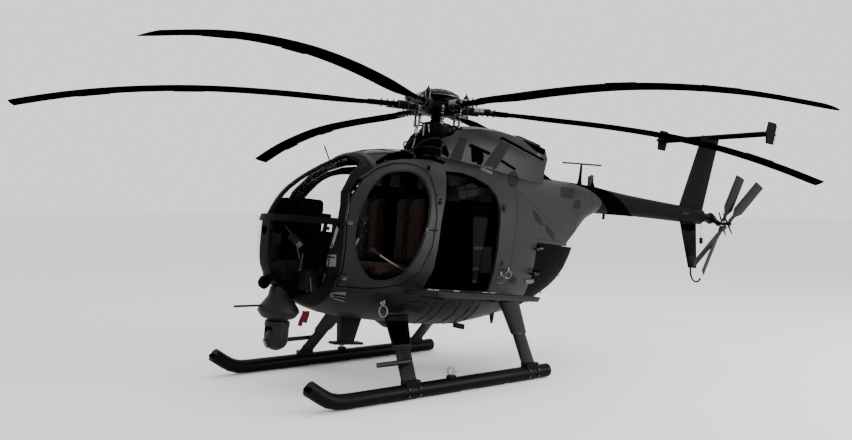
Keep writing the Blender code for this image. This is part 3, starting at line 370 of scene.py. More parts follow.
# Pale, nearly opaque glass: a painted reflection on the narrow windows before the doors
GLINT_GLASS = glass("quarter_light", (0.10, 0.10, 0.098), 0.85, 0.15)
LENS = glass("lens_glass", (0.0012, 0.0013, 0.0016), 0.97, 0.03)

# The material of each CAD node whose name starts so, in this order; the others are hull grey
FINISHES = {
    "engine_door": HATCH_SHADED_GREY, "engine_firewall": INSIDE, "engine_cowl": HULL_GREY_LIT, "engine": DULL,
    "exhaust_pipe": HULL_DARK, "instrument_console": INSIDE, "cabin_floor": INSIDE, "rear_cabinet": INSIDE,
    "seat_base": INSIDE, "main_rotor_hub": HUB_METAL, "main_rotor_blade": ROTOR, "tail_rotor_hub": TAIL_ROTOR,
    "mast_base": HUB_METAL, "mast_fairing": INSIDE, "skid": SKID, "strut": STRUT_SHADED_GREY, "tail_boom": TAIL_SHADED_GREY,
    "upper_fin": TAIL_SHADED_GREY, "ventral_fin": TAIL_SHADED_GREY, "stabiliser": TAIL_SHADED_GREY, "canopy_frame": FRAME_SHADED_GREY,
    "tail_gearbox": HUB_METAL, "boom_antenna": PATCH, "windscreen": GLAZING, "chin_window": GLAZING,
    "roof_window": ROOF_GLASS, "door_glass": GLAZING, "nose_lamp": LENS, "seat_": SEAT_CLOTH, "belly_sensor": PATCH,
}


def by_name(table, name, usual):
    """What a table gives for the first key that a name starts with."""
    return next((value for key, value in table.items() if name.startswith(key)), usual)


def dress_nodes():
    """Gives the CAD nodes their materials, which the skins take over."""
    for name, obj in NODES.items():
        obj.data.materials.clear()
        obj.data.materials.append(by_name(FINISHES, name, HULL))


dress_nodes()

# The slot name that goes with each material, unless a piece names another or is on the painted hull; it is looked up
# but not given to the pieces
USUAL_SLOT = {material.name: slot for slot, group in (
    ("bare_metal", (BRIGHT, DULL, POLISHED)), ("dark_paint", (HUB_METAL, RUBBER, LENS)),
    ("cabin_black", (INSIDE,)), ("rotor_black", (ROTOR,)),
) for material in group}

# Edges sharper than this, in degrees, stay hard on added solids, on redrawn blades and on the skins
SOLID_SHARP = 35
BLADE_SHARP = 40
SKIN_SHARP = 32

# A chamfer as a share of a rod's radius or a block's half size, and how deep plates sit in what they cover
CHAMFER = 0.12
PLATE_SINK = 0.003


# Shape tools
def around(steps):
    """Equal steps of one whole turn."""
    return [2 * math.pi * k / steps for k in range(steps)]


def circle(centre, u, v, radius, steps):
    """Points round a centre in the plane of two directions."""
    return [centre + (u * math.cos(t) + v * math.sin(t)) * radius for t in around(steps)]


class Solids:
    """Collects closed solids that become one named piece."""

    def __init__(self):
        self.points = []
        self.faces = []

    def add(self, points, faces):
        base = len(self.points)
        self.points += [Vector(p) for p in points]
        self.faces += [[base + i for i in face] for face in faces]

    def loft(self, rings, looped=False):
        """Skins equal rings one after another and caps both ends."""
        count = len(rings[0])
        faces = []
        steps = len(rings) if looped else len(rings) - 1
        for k in range(steps):
            a, b = k * count, (k + 1) % len(rings) * count
            for i in range(count):
                j = (i + 1) % count
                faces.append((a + i, a + j, b + j, b + i))
        if not looped:
            faces.append(tuple(reversed(range(count))))
            faces.append(tuple(range((len(rings) - 1) * count, len(rings) * count)))
        self.add([p for ring in rings for p in ring], faces)

    def tube(self, path, radius, sides=8, looped=False):
        """Round tube along a path; radius is one number or one for each point."""
        path = [Vector(p) for p in path]
        count = len(path)
        radii = list(radius) if isinstance(radius, (list, tuple)) else [radius] * count
        across = None
        rings = []
        for k, centre in enumerate(path):
            after = path[(k + 1) % count] if looped else path[min(k + 1, count - 1)]
            before = path[k - 1] if looped or k else path[0]
            along = (after - before).normalized()
            if across is None:
                across = along.orthogonal().normalized()
            across = (across - along * across.dot(along)).normalized()
            rings.append(circle(centre, across, along.cross(across), radii[k], sides))
        self.loft(rings, looped)

    def rod(self, start, end, radius, sides=10):
        """Straight rod with chamfered ends."""
        start, end = Vector(start), Vector(end)
        inset = (end - start).normalized() * radius * CHAMFER
        small = radius * (1 - CHAMFER)
        self.tube((start, start + inset, end - inset, end), (small, radius, radius, small), sides)

    def ring(self, centre, axis, radius, thick, steps, sides=6):
        """Round ring about an axis."""
        axis = Vector(axis).normalized()
        u = axis.orthogonal().normalized()
        self.tube(circle(centre, u, axis.cross(u), radius, steps), thick, sides, True)

    def block(self, centre, axes, halves, chamfer=CHAMFER):
        """Box with chamfered long edges; axes are three directions, halves three half sizes."""
        ax, ay, az = (Vector(a).normalized() for a in axes)
        hx, hy, hz = halves
        cut = min(hy, hz) * chamfer * 2
        corners = ((hy, hz - cut), (hy - cut, hz), (cut - hy, hz), (-hy, hz - cut),
                   (-hy, cut - hz), (cut - hy, -hz), (hy - cut, -hz), (hy, cut - hz))
        rings = [[Vector(centre) + ax * x + ay * y + az * z for y, z in corners] for x in (-hx, hx)]
        self.loft(rings)

    def prism(self, outline, offset):
        """Flat outline of points pushed along an offset."""
        offset = Vector(offset)
        self.loft([[Vector(p) for p in outline], [Vector(p) + offset for p in outline]])

    def ball(self, centre, radius, steps=12, rings=7):
        """Ball with small flat poles."""
        rows = []
        for k in range(rings + 1):
            lean = math.pi * (k + 0.15) / (rings + 0.3) - math.pi / 2
            rows.append([
                centre + Vector((math.cos(lean) * math.cos(t), math.cos(lean) * math.sin(t), math.sin(lean))) * radius
                for t in around(steps)
            ])
        self.loft(rows)

    def lathe(self, base, axis, profile, steps):
        """Turned solid: profile rows are distance along the axis and radius."""
        axis = Vector(axis).normalized()
        u = axis.orthogonal().normalized()
        self.loft([circle(base + axis * z, u, axis.cross(u), r, steps) for z, r in profile])

    def dome(self, place, normal, radius):
        """Low round head of a rivet or screw, sunk a little into what carries it."""
        height = radius * 0.5
        self.lathe(place, normal, ((-0.0015, radius), (height * 0.25, radius), (height, radius * 0.45)), 6)

    def strip(self, trace, width, height, sink=0.002):
        """Low strip along a traced line of points and normals."""
        if len(trace) < 2:
            return
        rings = []
        for k, (place, normal) in enumerate(trace):
            along = trace[min(k + 1, len(trace) - 1)][0] - trace[max(k - 1, 0)][0]
            side = along.cross(normal).normalized() * width / 2
            rings.append([
                place - side - normal * sink, place - side * 0.85 + normal * height * 0.7,
                place - side * 0.45 + normal * height, place + side * 0.45 + normal * height,
                place + side * 0.85 + normal * height * 0.7, place + side - normal * sink,
            ])
        self.loft(rings)

    def cover(self, outline, nodes, thick, spacing):
        """Thin plate on the surface of some nodes; outline and spacing are in pixels of the photograph's frame."""
        outline = list(outline)
        us = [p[0] for p in outline]
        vs = [p[1] for p in outline]
        points = [Vector(p) for p in refine(outline, spacing)]
        edges = [(i, (i + 1) % len(points)) for i in range(len(points))]
        u = min(us) + spacing / 2
        while u < max(us):
            v = min(vs) + spacing / 2
            while v < max(vs):
                if inside(u, v, outline, spacing * 0.35):
                    points.append(Vector((u, v)))
                v += spacing
            u += spacing
        flat, _, faces, *_ = geometry.delaunay_2d_cdt(points, edges, [], 1, 1e-6)
        hits = [cast(seen(p.x, p.y), nodes) for p in flat]
        faces = [f for f in faces if all(hits[i] for i in f)]
        used = sorted({i for f in faces for i in f})
        if not used:
            return
        index = {i: k for k, i in enumerate(used)}
        count = len(used)
        top = [hits[i][0] + hits[i][1] * thick for i in used]
        low = [hits[i][0] - hits[i][1] * PLATE_SINK for i in used]
        a, b, c = (top[index[i]] for i in faces[0][:3])
        facing = (b - a).cross(c - a).dot(hits[faces[0][0]][1]) > 0
        faces = [[index[i] for i in (f if facing else tuple(reversed(f)))] for f in faces]
        rim = {}
        for f in faces:
            for i, j in zip(f, f[1:] + f[:1]):
                rim[(i, j)] = rim.get((i, j), 0) + 1
        walls = [(j, i, i + count, j + count) for i, j in rim if (j, i) not in rim]
        under = [[i + count for i in reversed(f)] for f in faces]
        self.add(top + low, [tuple(f) for f in faces] + [tuple(f) for f in under] + walls)

    def rivets(self, line, caster, nodes, pitch=0.045, radius=0.0036):
        """Row of rivet heads on a surface along a line in the caster's coordinates."""
        last = None
        for place, normal in trace_line(line, caster, nodes, 0.25):
            if last is None or (place - last).length >= pitch:
                self.dome(place, normal, radius)
                last = place

    def mirrored(self):
        """The same solids on the other side of the airframe."""
        other = Solids()
        other.add([Vector((p.x, -p.y, p.z)) for p in self.points], [tuple(reversed(f)) for f in self.faces])
        return other

    def both(self):
        """Adds the mirror image on the other side of the airframe."""
        twin = self.mirrored()
        self.add(twin.points, twin.faces)
        return self

    def piece(self, name, material, slot=None, body="airframe", sharp=SOLID_SHARP):
        """Turns the collected solids into one object; the slot is not used."""
        mesh = bpy.data.meshes.new(name)
        mesh.from_pydata([tuple(p) for p in self.points], [], self.faces)
        tidy = bmesh.new()
        tidy.from_mesh(mesh)
        bmesh.ops.recalc_face_normals(tidy, faces=tidy.faces)
        tidy.to_mesh(mesh)
        tidy.free()
        mesh.shade_smooth()
        mesh.set_sharp_from_angle(angle=math.radians(sharp))
        obj = placed(name, mesh)
        mesh.materials.append(material)
        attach(obj, body)
        slot or USUAL_SLOT.get(material.name, "hull_paint")
        return obj


def refine(outline, spacing):
    """Adds points along an outline's edges about a spacing apart."""
    out = []
    for (u, v), (s, t) in zip(outline, outline[1:] + outline[:1]):
        steps = max(1, round(math.hypot(s - u, t - v) / spacing))
        out += [(u + (s - u) * k / steps, v + (t - v) * k / steps) for k in range(steps)]
    return out


def inside(u, v, outline, margin):
    """Whether a point is inside an outline and at least a margin from its edges."""
    odd = False
    for (a, b), (c, d) in zip(outline, outline[1:] + outline[:1]):
        if (b > v) != (d > v) and u < (c - a) * (v - b) / (d - b) + a:
            odd = not odd
        length = math.hypot(c - a, d - b) or 1.0
        share = max(0.0, min(1.0, ((u - a) * (c - a) + (v - b) * (d - b)) / length ** 2))
        if math.hypot(u - a - share * (c - a), v - b - share * (d - b)) < margin:
            return False
    return odd


TREES = {}


def tree_of(nodes):
    """Search tree of the meshes of some CAD nodes, made once."""
    if nodes not in TREES:
        points, faces = [], []
        for name in nodes:
            mesh = NODES[name].data
            base = len(points)
            points += [v.co.copy() for v in mesh.vertices]
            faces += [[base + i for i in p.vertices] for p in mesh.polygons]
        TREES[nodes] = BVHTree.FromPolygons(points, faces)
    return TREES[nodes]


def cast(ray, nodes):
    """Where a ray first meets some nodes, with the normal turned to the ray's start, or None."""
    start, way = ray
    place, normal, _, _ = tree_of(nodes).ray_cast(start, way)
    if place is None:
        return None
    return place, (normal if normal.dot(way) < 0 else -normal)


def met(rays, nodes):
    """Where rays first meet some nodes; a ray that misses them is left out."""
    return [hit for hit in (cast(ray, nodes) for ray in rays) if hit]


def seen(px, py):
    """Ray through a place of the photograph's frame."""
    way = AHEAD * FOCAL + RIGHT * (px - IMAGE_W / 2) - UP * (py - IMAGE_H / 2)
    return CAMERA_AT, way.normalized()


def from_side(x, z):
    return level(x, 3.0, z), STARBOARD


def from_top(x, y):
    return level(x, y, 4.0), DOWN


def from_below(x, y):
    return level(x, y, -1.0), MAST


def from_front(y, z):
    return level(4.0, y, z), AFT


def trace_line(line, caster, nodes, spacing):
    """Points and normals along a line in the caster's coordinates; spacing is in pixels, or in units of 20 mm."""
    rays = []
    for (u, v), (s, t) in zip(line, line[1:]):
        steps = max(2, int(math.hypot(s - u, t - v) / (spacing * (1.0 if caster is seen else 0.02))) + 1)
        rays += [caster(u + (s - u) * k / steps, v + (t - v) * k / steps) for k in range(steps)]
    return met(rays + [caster(*line[-1])], nodes)


def meet(px, py, point, normal):
    """Where the ray through a place of the frame meets a plane."""
    start, way = seen(px, py)
    return start + way * ((Vector(point) - start).dot(normal) / way.dot(normal))


def oval(u, v, ru, rv, steps=20, lean=0.0):
    """Outline of an oval round a place."""
    c, s = math.cos(lean), math.sin(lean)
    return [(u + ru * math.cos(t) * c - rv * math.sin(t) * s, v + ru * math.cos(t) * s + rv * math.sin(t) * c)
            for t in around(steps)]


def pixel_bar(start, end, width):
    """Outline of a straight bar between two places, in the same units."""
    du, dv = end[0] - start[0], end[1] - start[1]
    size = math.hypot(du, dv)
    nu, nv = -dv / size * width / 2, du / size * width / 2
    return [(start[0] + nu, start[1] + nv), (end[0] + nu, end[1] + nv),
            (end[0] - nu, end[1] - nv), (start[0] - nu, start[1] - nv)]


def smooth(points, steps=6):
    """Smooth curve through points, in equal steps between each two."""
    out = []
    ends = [points[0] * 2 - points[1]] + list(points) + [points[-1] * 2 - points[-2]]
    for a, b, c, d in zip(ends, ends[1:], ends[2:], ends[3:]):
        for k in range(steps):
            t = k / steps
            out.append(0.5 * (2 * b + (c - a) * t + (2 * a - 5 * b + 4 * c - d) * t * t
                              + (3 * b - a - 3 * c + d) * t ** 3))
    return out + [points[-1]]


# Pieces
SEAT_Y = 0.33
PANEL_X = 1.3595
BENCH_TOP = 0.848


def plates(name, material, nodes, rows, slot=None):
    """One mirrored piece of plates drawn in the photograph's frame: outline, thickness, spacing and own nodes."""
    solids = Solids()
    for outline, thick, spacing, *own in rows:
        solids.cover(outline, own[0] if own else nodes, thick, spacing)
    return solids.both().piece(name, material, slot)


def door_pieces(kind, rows):
    """One piece a side for each row, mirrored for starboard, riding on that side's door."""
    for label, side in SIDES:
        for solids, name, material in rows:
            part = solids if side > 0 else solids.mirrored()
            part.piece(f"{label}_{name}", material, body=f"{label}_{kind}")


COWL = ("engine_cowl",)
TAIL = ("rear_fuselage", "tail_boom")
SHELL = ("cabin_shell", "rear_fuselage", "belly_shell")
DOOR = ("front_door_port",)
ENGINE_DOOR = ("engine_door_port",)
OUTSIDE = SHELL + DOOR + ENGINE_DOOR + COWL + ("tail_boom", "canopy_frame")


def cowl_details():
    """Slanted panels, black marks with painted shadows of the panels, ledges, grille, seals and rivets of the engine
    cowl.
    """
    plates("cowl_side_panels", PATCH, COWL + TAIL, (
        (((460.1, 137.2), (467.2, 139.6), (461.0, 160.4), (450.1, 157.2)), 0.004, 3.0),
        (((500.8, 140.9), (510.8, 144.8), (493.0, 173.4), (482.6, 166.9)), 0.004, 3.0),
        (oval(513.2, 179.1, 5.2, 8.0), 0.0035, 2.0, OUTSIDE),
    ))
    plates("cowl_panel_feet", HULL, COWL + SHELL, (
        (((450.1, 157.9), (461.6, 161.3), (461.3, 162.9), (449.8, 159.4)), 0.005, 3.0),
    ))
    plates("cowl_pale_tags", PALE, COWL, (
        (((481.5, 167.2), (493.0, 172.2), (491.4, 175.0), (480.3, 169.8)), 0.004, 3.0, COWL + SHELL),
        (((537.2, 153.4), (541.8, 155.4), (541.2, 158.2), (536.4, 156.2)), 0.003, 3.0),
    ))
    # Black plates: the first two are painted shadows cast by the slanted panels; the rest are thin black lines, a black
    # bar along the ledge and a black patch above it
    plates("cowl_black_shadows_and_lines", BLACK, COWL, (
        (((470.9, 146.1), (482.2, 151.3), (483.9, 155.7), (483.1, 161.7), (477.9, 170), (471.8, 164.3)), 0.0015, 2.5),
        (((435.8, 147.0), (438.9, 143.3), (445.8, 144.4), (449.3, 154.8), (448.0, 157.4), (438.0, 151.8)), 0.0015, 2.5),
        (((469.2, 144.6), (470.9, 144.0), (489.8, 152.4), (489.1, 154.9), (484.8, 153.0), (470.1, 146.6)), 0.012, 2.5),
        (pixel_bar((501.3, 160.6), (515.2, 169.6), 1.9), 0.010, 2.5),
        (pixel_bar((501.0, 138.0), (542.9, 160.0), 1.8), 0.012, 2.5),
        (((522.9, 139.6), (545.0, 149.6), (544.2, 155.2), (535.9, 151.3), (528.1, 144.4)), 0.004, 2.5),
    ))
    ledge = Solids()
    ledge.strip(trace_line([(501.8, 140.0), (541.0, 160.8)], seen, COWL, 2.0), 0.006, 0.004)
    ledge.both().piece("cowl_ledge_trim", PALE)
    seal = Solids()
    line = [(0.14, 2.02), (0.125, 2.22), (0.085, 2.375), (0.0, 2.45)]
    seal.strip(trace_line([(x - 0.012, z) for x, z in line], from_side, COWL, 1.5), 0.016, 0.006)
    seal.both().piece("cowl_front_seal", RUBBER, "hull_paint")
    grille = Solids()
    for y in (-0.12 + 0.03 * k for k in range(9)):
        grille.strip(trace_line([(-1.02, y), (-1.38, y * 0.8)], from_top, COWL, 2.0), 0.007, 0.014)
    for x in (-1.05 - 0.1 * k for k in range(4)):
        grille.strip(trace_line([(x, -0.125), (x, 0.125)], from_top, COWL, 2.0), 0.009, 0.010)
    grille.piece("cowl_rear_grille", BLACK)
    tail = Solids()
    outline = [(-1.30, 2.20), (-1.42, 2.19), (-1.62, 2.105), (-1.40, 2.095), (-1.30, 2.10)]
    tail.prism([level(x, -0.10, z) for x, z in outline], (0, 0.20, 0))
    tail.piece("cowl_rear_skirt", BLACK)
    rows = Solids()
    for line in ([(0.06, 2.08), (-1.30, 2.08)], [(0.04, 2.30), (-0.10, 2.40), (-1.25, 2.36)],
                 [(-0.72, 2.10), (-0.72, 2.44)], [(-0.24, 2.10), (-0.24, 2.44)]):
        rows.rivets(line, from_side, COWL, 0.05)
    rows.both().piece("cowl_rivets", PATCH)


def mast_details():
    """Open work in the fairing before the mast: mesh, pale rods, hoses and the actuators."""
    fairing = ("mast_fairing", "cabin_shell")
    mesh = Solids()
    for k in range(8):
        z = 2.21 + 0.03 * k
        mesh.strip(trace_line([(0.30 - 0.012 * k, z), (0.10, z)], from_side, fairing, 1.2), 0.006, 0.005)
    for x in (0.28 - 0.045 * k for k in range(5)):
        mesh.strip(trace_line([(x, 2.19), (x - 0.03, 2.42)], from_side, fairing, 1.2), 0.006, 0.006)
    mesh.both()
    for y in (-0.10 + 0.04 * k for k in range(6)):
        mesh.strip(trace_line([(y, 2.20), (y * 0.9, 2.42)], from_front, fairing, 1.2), 0.006, 0.005)
    mesh.piece("fairing_mesh", INSIDE, "dark_paint")
    pale = Solids()
    for x, y, lean in ((0.26, 0.13, -0.05), (0.20, 0.19, -0.02), (0.31, 0.05, -0.06), (0.24, -0.12, -0.04)):
        pale.rod(level(x, y, 2.20), level(x + lean, y * 0.55, 2.452), 0.007, 8)
        pale.ball(level(x, y, 2.205), 0.013)
        pale.ball(level(x + lean, y * 0.55, 2.448), 0.012)
    pale.piece("control_rods", BRIGHT)
    hose = Solids()
    for points in (
        ((0.33, 0.10, 2.18), (0.31, 0.16, 2.24), (0.25, 0.215, 2.29), (0.16, 0.245, 2.31), (0.10, 0.262, 2.28)),
        ((0.32, 0.06, 2.18), (0.28, 0.18, 2.21), (0.20, 0.235, 2.22), (0.12, 0.262, 2.20)),
        ((0.30, -0.10, 2.19), (0.26, -0.18, 2.27), (0.18, -0.235, 2.30), (0.10, -0.262, 2.27)),
        ((0.35, 0.0, 2.18), (0.335, 0.02, 2.26), (0.28, 0.05, 2.33), (0.24, 0.06, 2.40)),
    ):
        hose.tube(smooth([level(*p) for p in points]), 0.008, 8)
    hose.piece("control_hoses", RUBBER)
    boxes = Solids()
    boxes.block(level(0.36, 0.09, 2.155), (turn(1, 0, 0.1), PORT, MAST), (0.035, 0.026, 0.022))
    boxes.block(level(0.36, -0.10, 2.155), (turn(1, 0, 0.1), PORT, MAST), (0.030, 0.022, 0.020))
    boxes.piece("roof_actuators", HUB_METAL)


def fuselage_details():
    """Plates, vents, a narrow window with a painted reflection, dark patches partly of painted shade, knobs, rings,
    seams and rivet rows of the hull and boom.
    """
    nose = SHELL + ("canopy_frame",)
    plates("rear_side_patches", PATCH, TAIL + SHELL, (
        (((561, 187), (574.8, 188.5), (572.5, 199), (560.8, 197)), 0.002, 2.5),
        (((575, 200), (581.2, 201), (579.2, 209.2), (573, 208.2)), 0.002, 2.5),
        (((532.0, 209.4), (536.4, 212.2), (541.4, 218.6), (543.6, 224.6), (541.0, 225.6), (536.0, 220.6)), 0.002, 2.5),
        (((545.2, 223.8), (550.2, 227.8), (554.6, 234.4), (554.8, 240.8), (550.0, 237.0), (546.6, 231.0)), 0.002, 2.5),
        (oval(512.2, 279.6, 4.0, 4.4), 0.002, 2.5),
    ))
    # Dark patches: the two below the door round the hanging-ring fittings are painted shade; the small one under the
    # rear knob is a dark plate
    plates("side_shade_patches", HULL_DARK, SHELL, (
        (((373.3, 293.5), (390.9, 294.6), (387.7, 303.1), (377.6, 302.6)), 0.0015, 2.5),
        (((405, 301), (428, 302), (421, 313), (398, 309)), 0.0015, 3.0),
        (((500.9, 203.4), (506.4, 204.2), (505.8, 212.6), (500.4, 211.8)), 0.003, 2.0),
    ))
    plates("nose_side_plates", PALE, SHELL, (
        (((330.7, 292.7), (338.0, 291.6), (346.1, 291.9), (344.0, 302.0), (333.9, 298.6), (330.3, 295.4)), 0.006, 2.5),
        (((326.6, 254.6), (336.3, 254.6), (335.8, 266.6), (327.0, 266.3)), 0.004, 2.5, nose),
    ))
    plates("vent_slots", BLACK, ("cabin_shell", "belly_shell"), (
        (pixel_bar((332.5, 294.2), (345.3, 296.0), 1.2), 0.008, 1.5),
        (pixel_bar((333.5, 296.4), (344.8, 299.0), 1.2), 0.008, 1.5),
        (pixel_bar((327.5, 256.6), (334.5, 257.6), 1.2), 0.007, 1.5, nose),
    ))
    # Narrow window before each door, its pale glass a painted reflection
    plates("nose_quarter_light_glints", GLINT_GLASS, nose, (
        (((336.5, 226.0), (338.6, 229.0), (333.0, 247.0), (330.2, 248.6)), 0.003, 2.0),
    ), "clear_glazing")
    knobs = Solids()
    for px, py, size in ((503.6, 208.2, 0.016), (440.0, 203.0, 0.014), (440.5, 199.5, 0.007)):
        place, normal = cast(seen(px, py), OUTSIDE)
        knobs.lathe(place, normal, ((-0.004, size * 1.3), (0.004, size * 1.25), (0.007, size),
                                    (0.020, size * 0.9), (0.023, size * 0.6)), 16)
    knobs.both().piece("side_knobs", RUBBER)
    rings = Solids()
    high = Vector((0, 0, 1))
    for px, py, size in ((499.6, 279.0, 0.042), (506.8, 274.4, 0.036)):
        place, normal = cast(seen(px, py), OUTSIDE)
        rings.ring(place + normal * 0.016, normal + Vector((0.45, 0, 0.0)), size, 0.0042, 24)
        top = place + normal * 0.012 + Vector((0, 0, size + 0.004))
        lug, out = cast((top + normal * 0.2, -normal), OUTSIDE)
        rings.rod(lug - out * 0.006, lug + out * 0.028, 0.006, 8)
        rings.block(lug + out * 0.004 + high * 0.012, (high, out, out.cross(high)), (0.022, 0.007, 0.011))
    rings.both().piece("tie_down_rings", BRIGHT)
    loop = Solids()
    place, normal = cast(seen(501.8, 268.0), OUTSIDE)
    loop.ring(place + normal * 0.010, normal + Vector((-0.4, 0, 0.3)), 0.034, 0.0035, 20)
    loop.block(place + normal * 0.004 + high * 0.05, (high, normal, normal.cross(high)), (0.026, 0.008, 0.010))
    loop.both().piece("tie_down_shackles", RUBBER)
    plates("side_marker_lights", PALE, SHELL + ENGINE_DOOR, (
        (((524.6, 279.6), (533.0, 279.2), (533.4, 281.8), (530.0, 283.4), (525.2, 282.6)), 0.010, 1.5),
    ))
    seams = Solids()
    for line in (
        [(-0.60, 0.80), (-0.60, 1.30), (-0.72, 1.95)],
        [(-1.00, 1.42), (-1.84, 1.43)],
        [(-0.50, 2.02), (-1.30, 1.60), (-1.86, 1.46)],
        [(-2.18, 1.72), (-2.18, 2.10)],
        [(1.33, 0.79), (0.55, 0.79)],
    ):
        seams.strip(trace_line(line, from_side, TAIL + SHELL, 1.5), 0.0055, 0.0009)
    seams.both().piece("skin_seams", HULL_DARK)
    rows = Solids()
    for line, pitch in (
        ([(-0.58, 0.82), (-0.58, 1.30), (-0.70, 1.95)], 0.04), ([(-0.62, 0.82), (-0.62, 1.30), (-0.74, 1.93)], 0.04),
        ([(-0.44, 1.65), (-0.42, 1.42), (-0.375, 0.87)], 0.035), ([(-0.47, 1.80), (-0.38, 1.93), (0.18, 2.03)], 0.035),
        ([(-0.80, 1.42), (-1.80, 1.45)], 0.04), ([(-0.98, 0.80), (-0.98, 1.95)], 0.045),
        ([(-1.40, 1.50), (-1.40, 2.05)], 0.045), ([(-1.75, 1.52), (-1.75, 2.05)], 0.045),
        ([(-2.16, 1.72), (-2.16, 2.09)], 0.03), ([(-2.20, 1.72), (-2.20, 2.09)], 0.03),
        ([(1.36, 0.80), (1.36, 1.34)], 0.032), ([(1.30, 0.765), (-0.90, 0.765)], 0.04),
        ([(0.46, 0.90), (0.40, 1.15)], 0.035), ([(1.34, 1.44), (1.30, 1.63), (1.16, 1.80), (1.0, 1.90)], 0.03),
        ([(-2.45, 1.99), (-4.55, 1.99)], 0.06), ([(-2.62, 1.86), (-2.62, 2.09)], 0.03),
        ([(-3.30, 1.87), (-3.30, 2.07)], 0.03), ([(-3.95, 1.87), (-3.95, 2.07)], 0.03),
        ([(-4.50, 1.88), (-4.50, 2.06)], 0.03),
    ):
        rows.rivets(line, from_side, TAIL + nose, pitch)
    rows.both().piece("fuselage_rivets", PATCH)
    top = Solids()
    for x in (-1.62, -2.05):
        top.rivets([(x, -0.22), (x, 0.22)], from_top, TAIL, 0.035)
    for y in (-0.12, 0.12):
        top.rivets([(-1.60, y), (-2.35, y * 0.8)], from_top, TAIL, 0.045)
    top.rivets([(0.98, -0.42), (0.98, 0.42)], from_top, nose, 0.035)
    top.rivets([(0.44, -0.45), (0.44, 0.45)], from_top, SHELL, 0.035)
    top.piece("roof_rivets", PATCH)


def belly_details():
    """Bead ribs round the belly, keel blister, drain pegs and rivets along the keel."""
    belly = ("belly_shell",)
    ribs = Solids()
    for px, py in ((414.4, 321.7), (425.7, 321.7), (443.9, 320.6), (454.6, 321.2), (469.4, 316.1), (495.4, 310.4)):
        x = to_level(cast(seen(px, py), belly)[0]).x
        ribs.strip(met([from_below(x, -0.60 + 0.05 * k) for k in range(25)], belly), 0.017, 0.0065)
    ribs.piece("belly_ribs", HULL)
    under = Solids()
    outline = [(0.60, 0.53), (0.42, 0.425), (0.36, 0.415), (0.22, 0.44), (0.12, 0.53)]
    under.prism([level(x, -0.05, z) for x, z in outline], (0, 0.10, 0))
    under.piece("keel_blister", HULL)
    pegs = Solids()
    pegs.block(level(0.30, 0.0, 0.425), AXES, (0.05, 0.035, 0.03))
    pegs.block(level(-0.42, 0.10, 0.465), (turn(1, 0, 0.15), PORT, MAST), (0.055, 0.03, 0.028))
    pegs.lathe(level(-0.86, 0.10, 0.62), turn(-0.05, 0, -1),
               ((0, 0.028), (0.05, 0.024), (0.10, 0.016), (0.12, 0.012)), 12)
    pegs.piece("belly_pegs", RUBBER)
    rows = Solids()
    for y in (-0.16, 0.16):
        rows.rivets([(1.10, y), (-0.90, y)], from_below, belly, 0.05)
    rows.piece("belly_rivets", PATCH)


DOOR_EDGE = [(1.32, 0.83), (1.32, 1.39), (1.27, 1.62), (1.13, 1.79), (0.97, 1.90), (0.80, 1.97), (0.66, 1.995),
             (0.52, 1.985), (0.435, 1.92), (0.415, 1.76), (0.42, 1.53), (0.46, 1.25), (0.56, 1.01), (0.74, 0.88),
             (0.93, 0.842), (1.08, 0.83)]


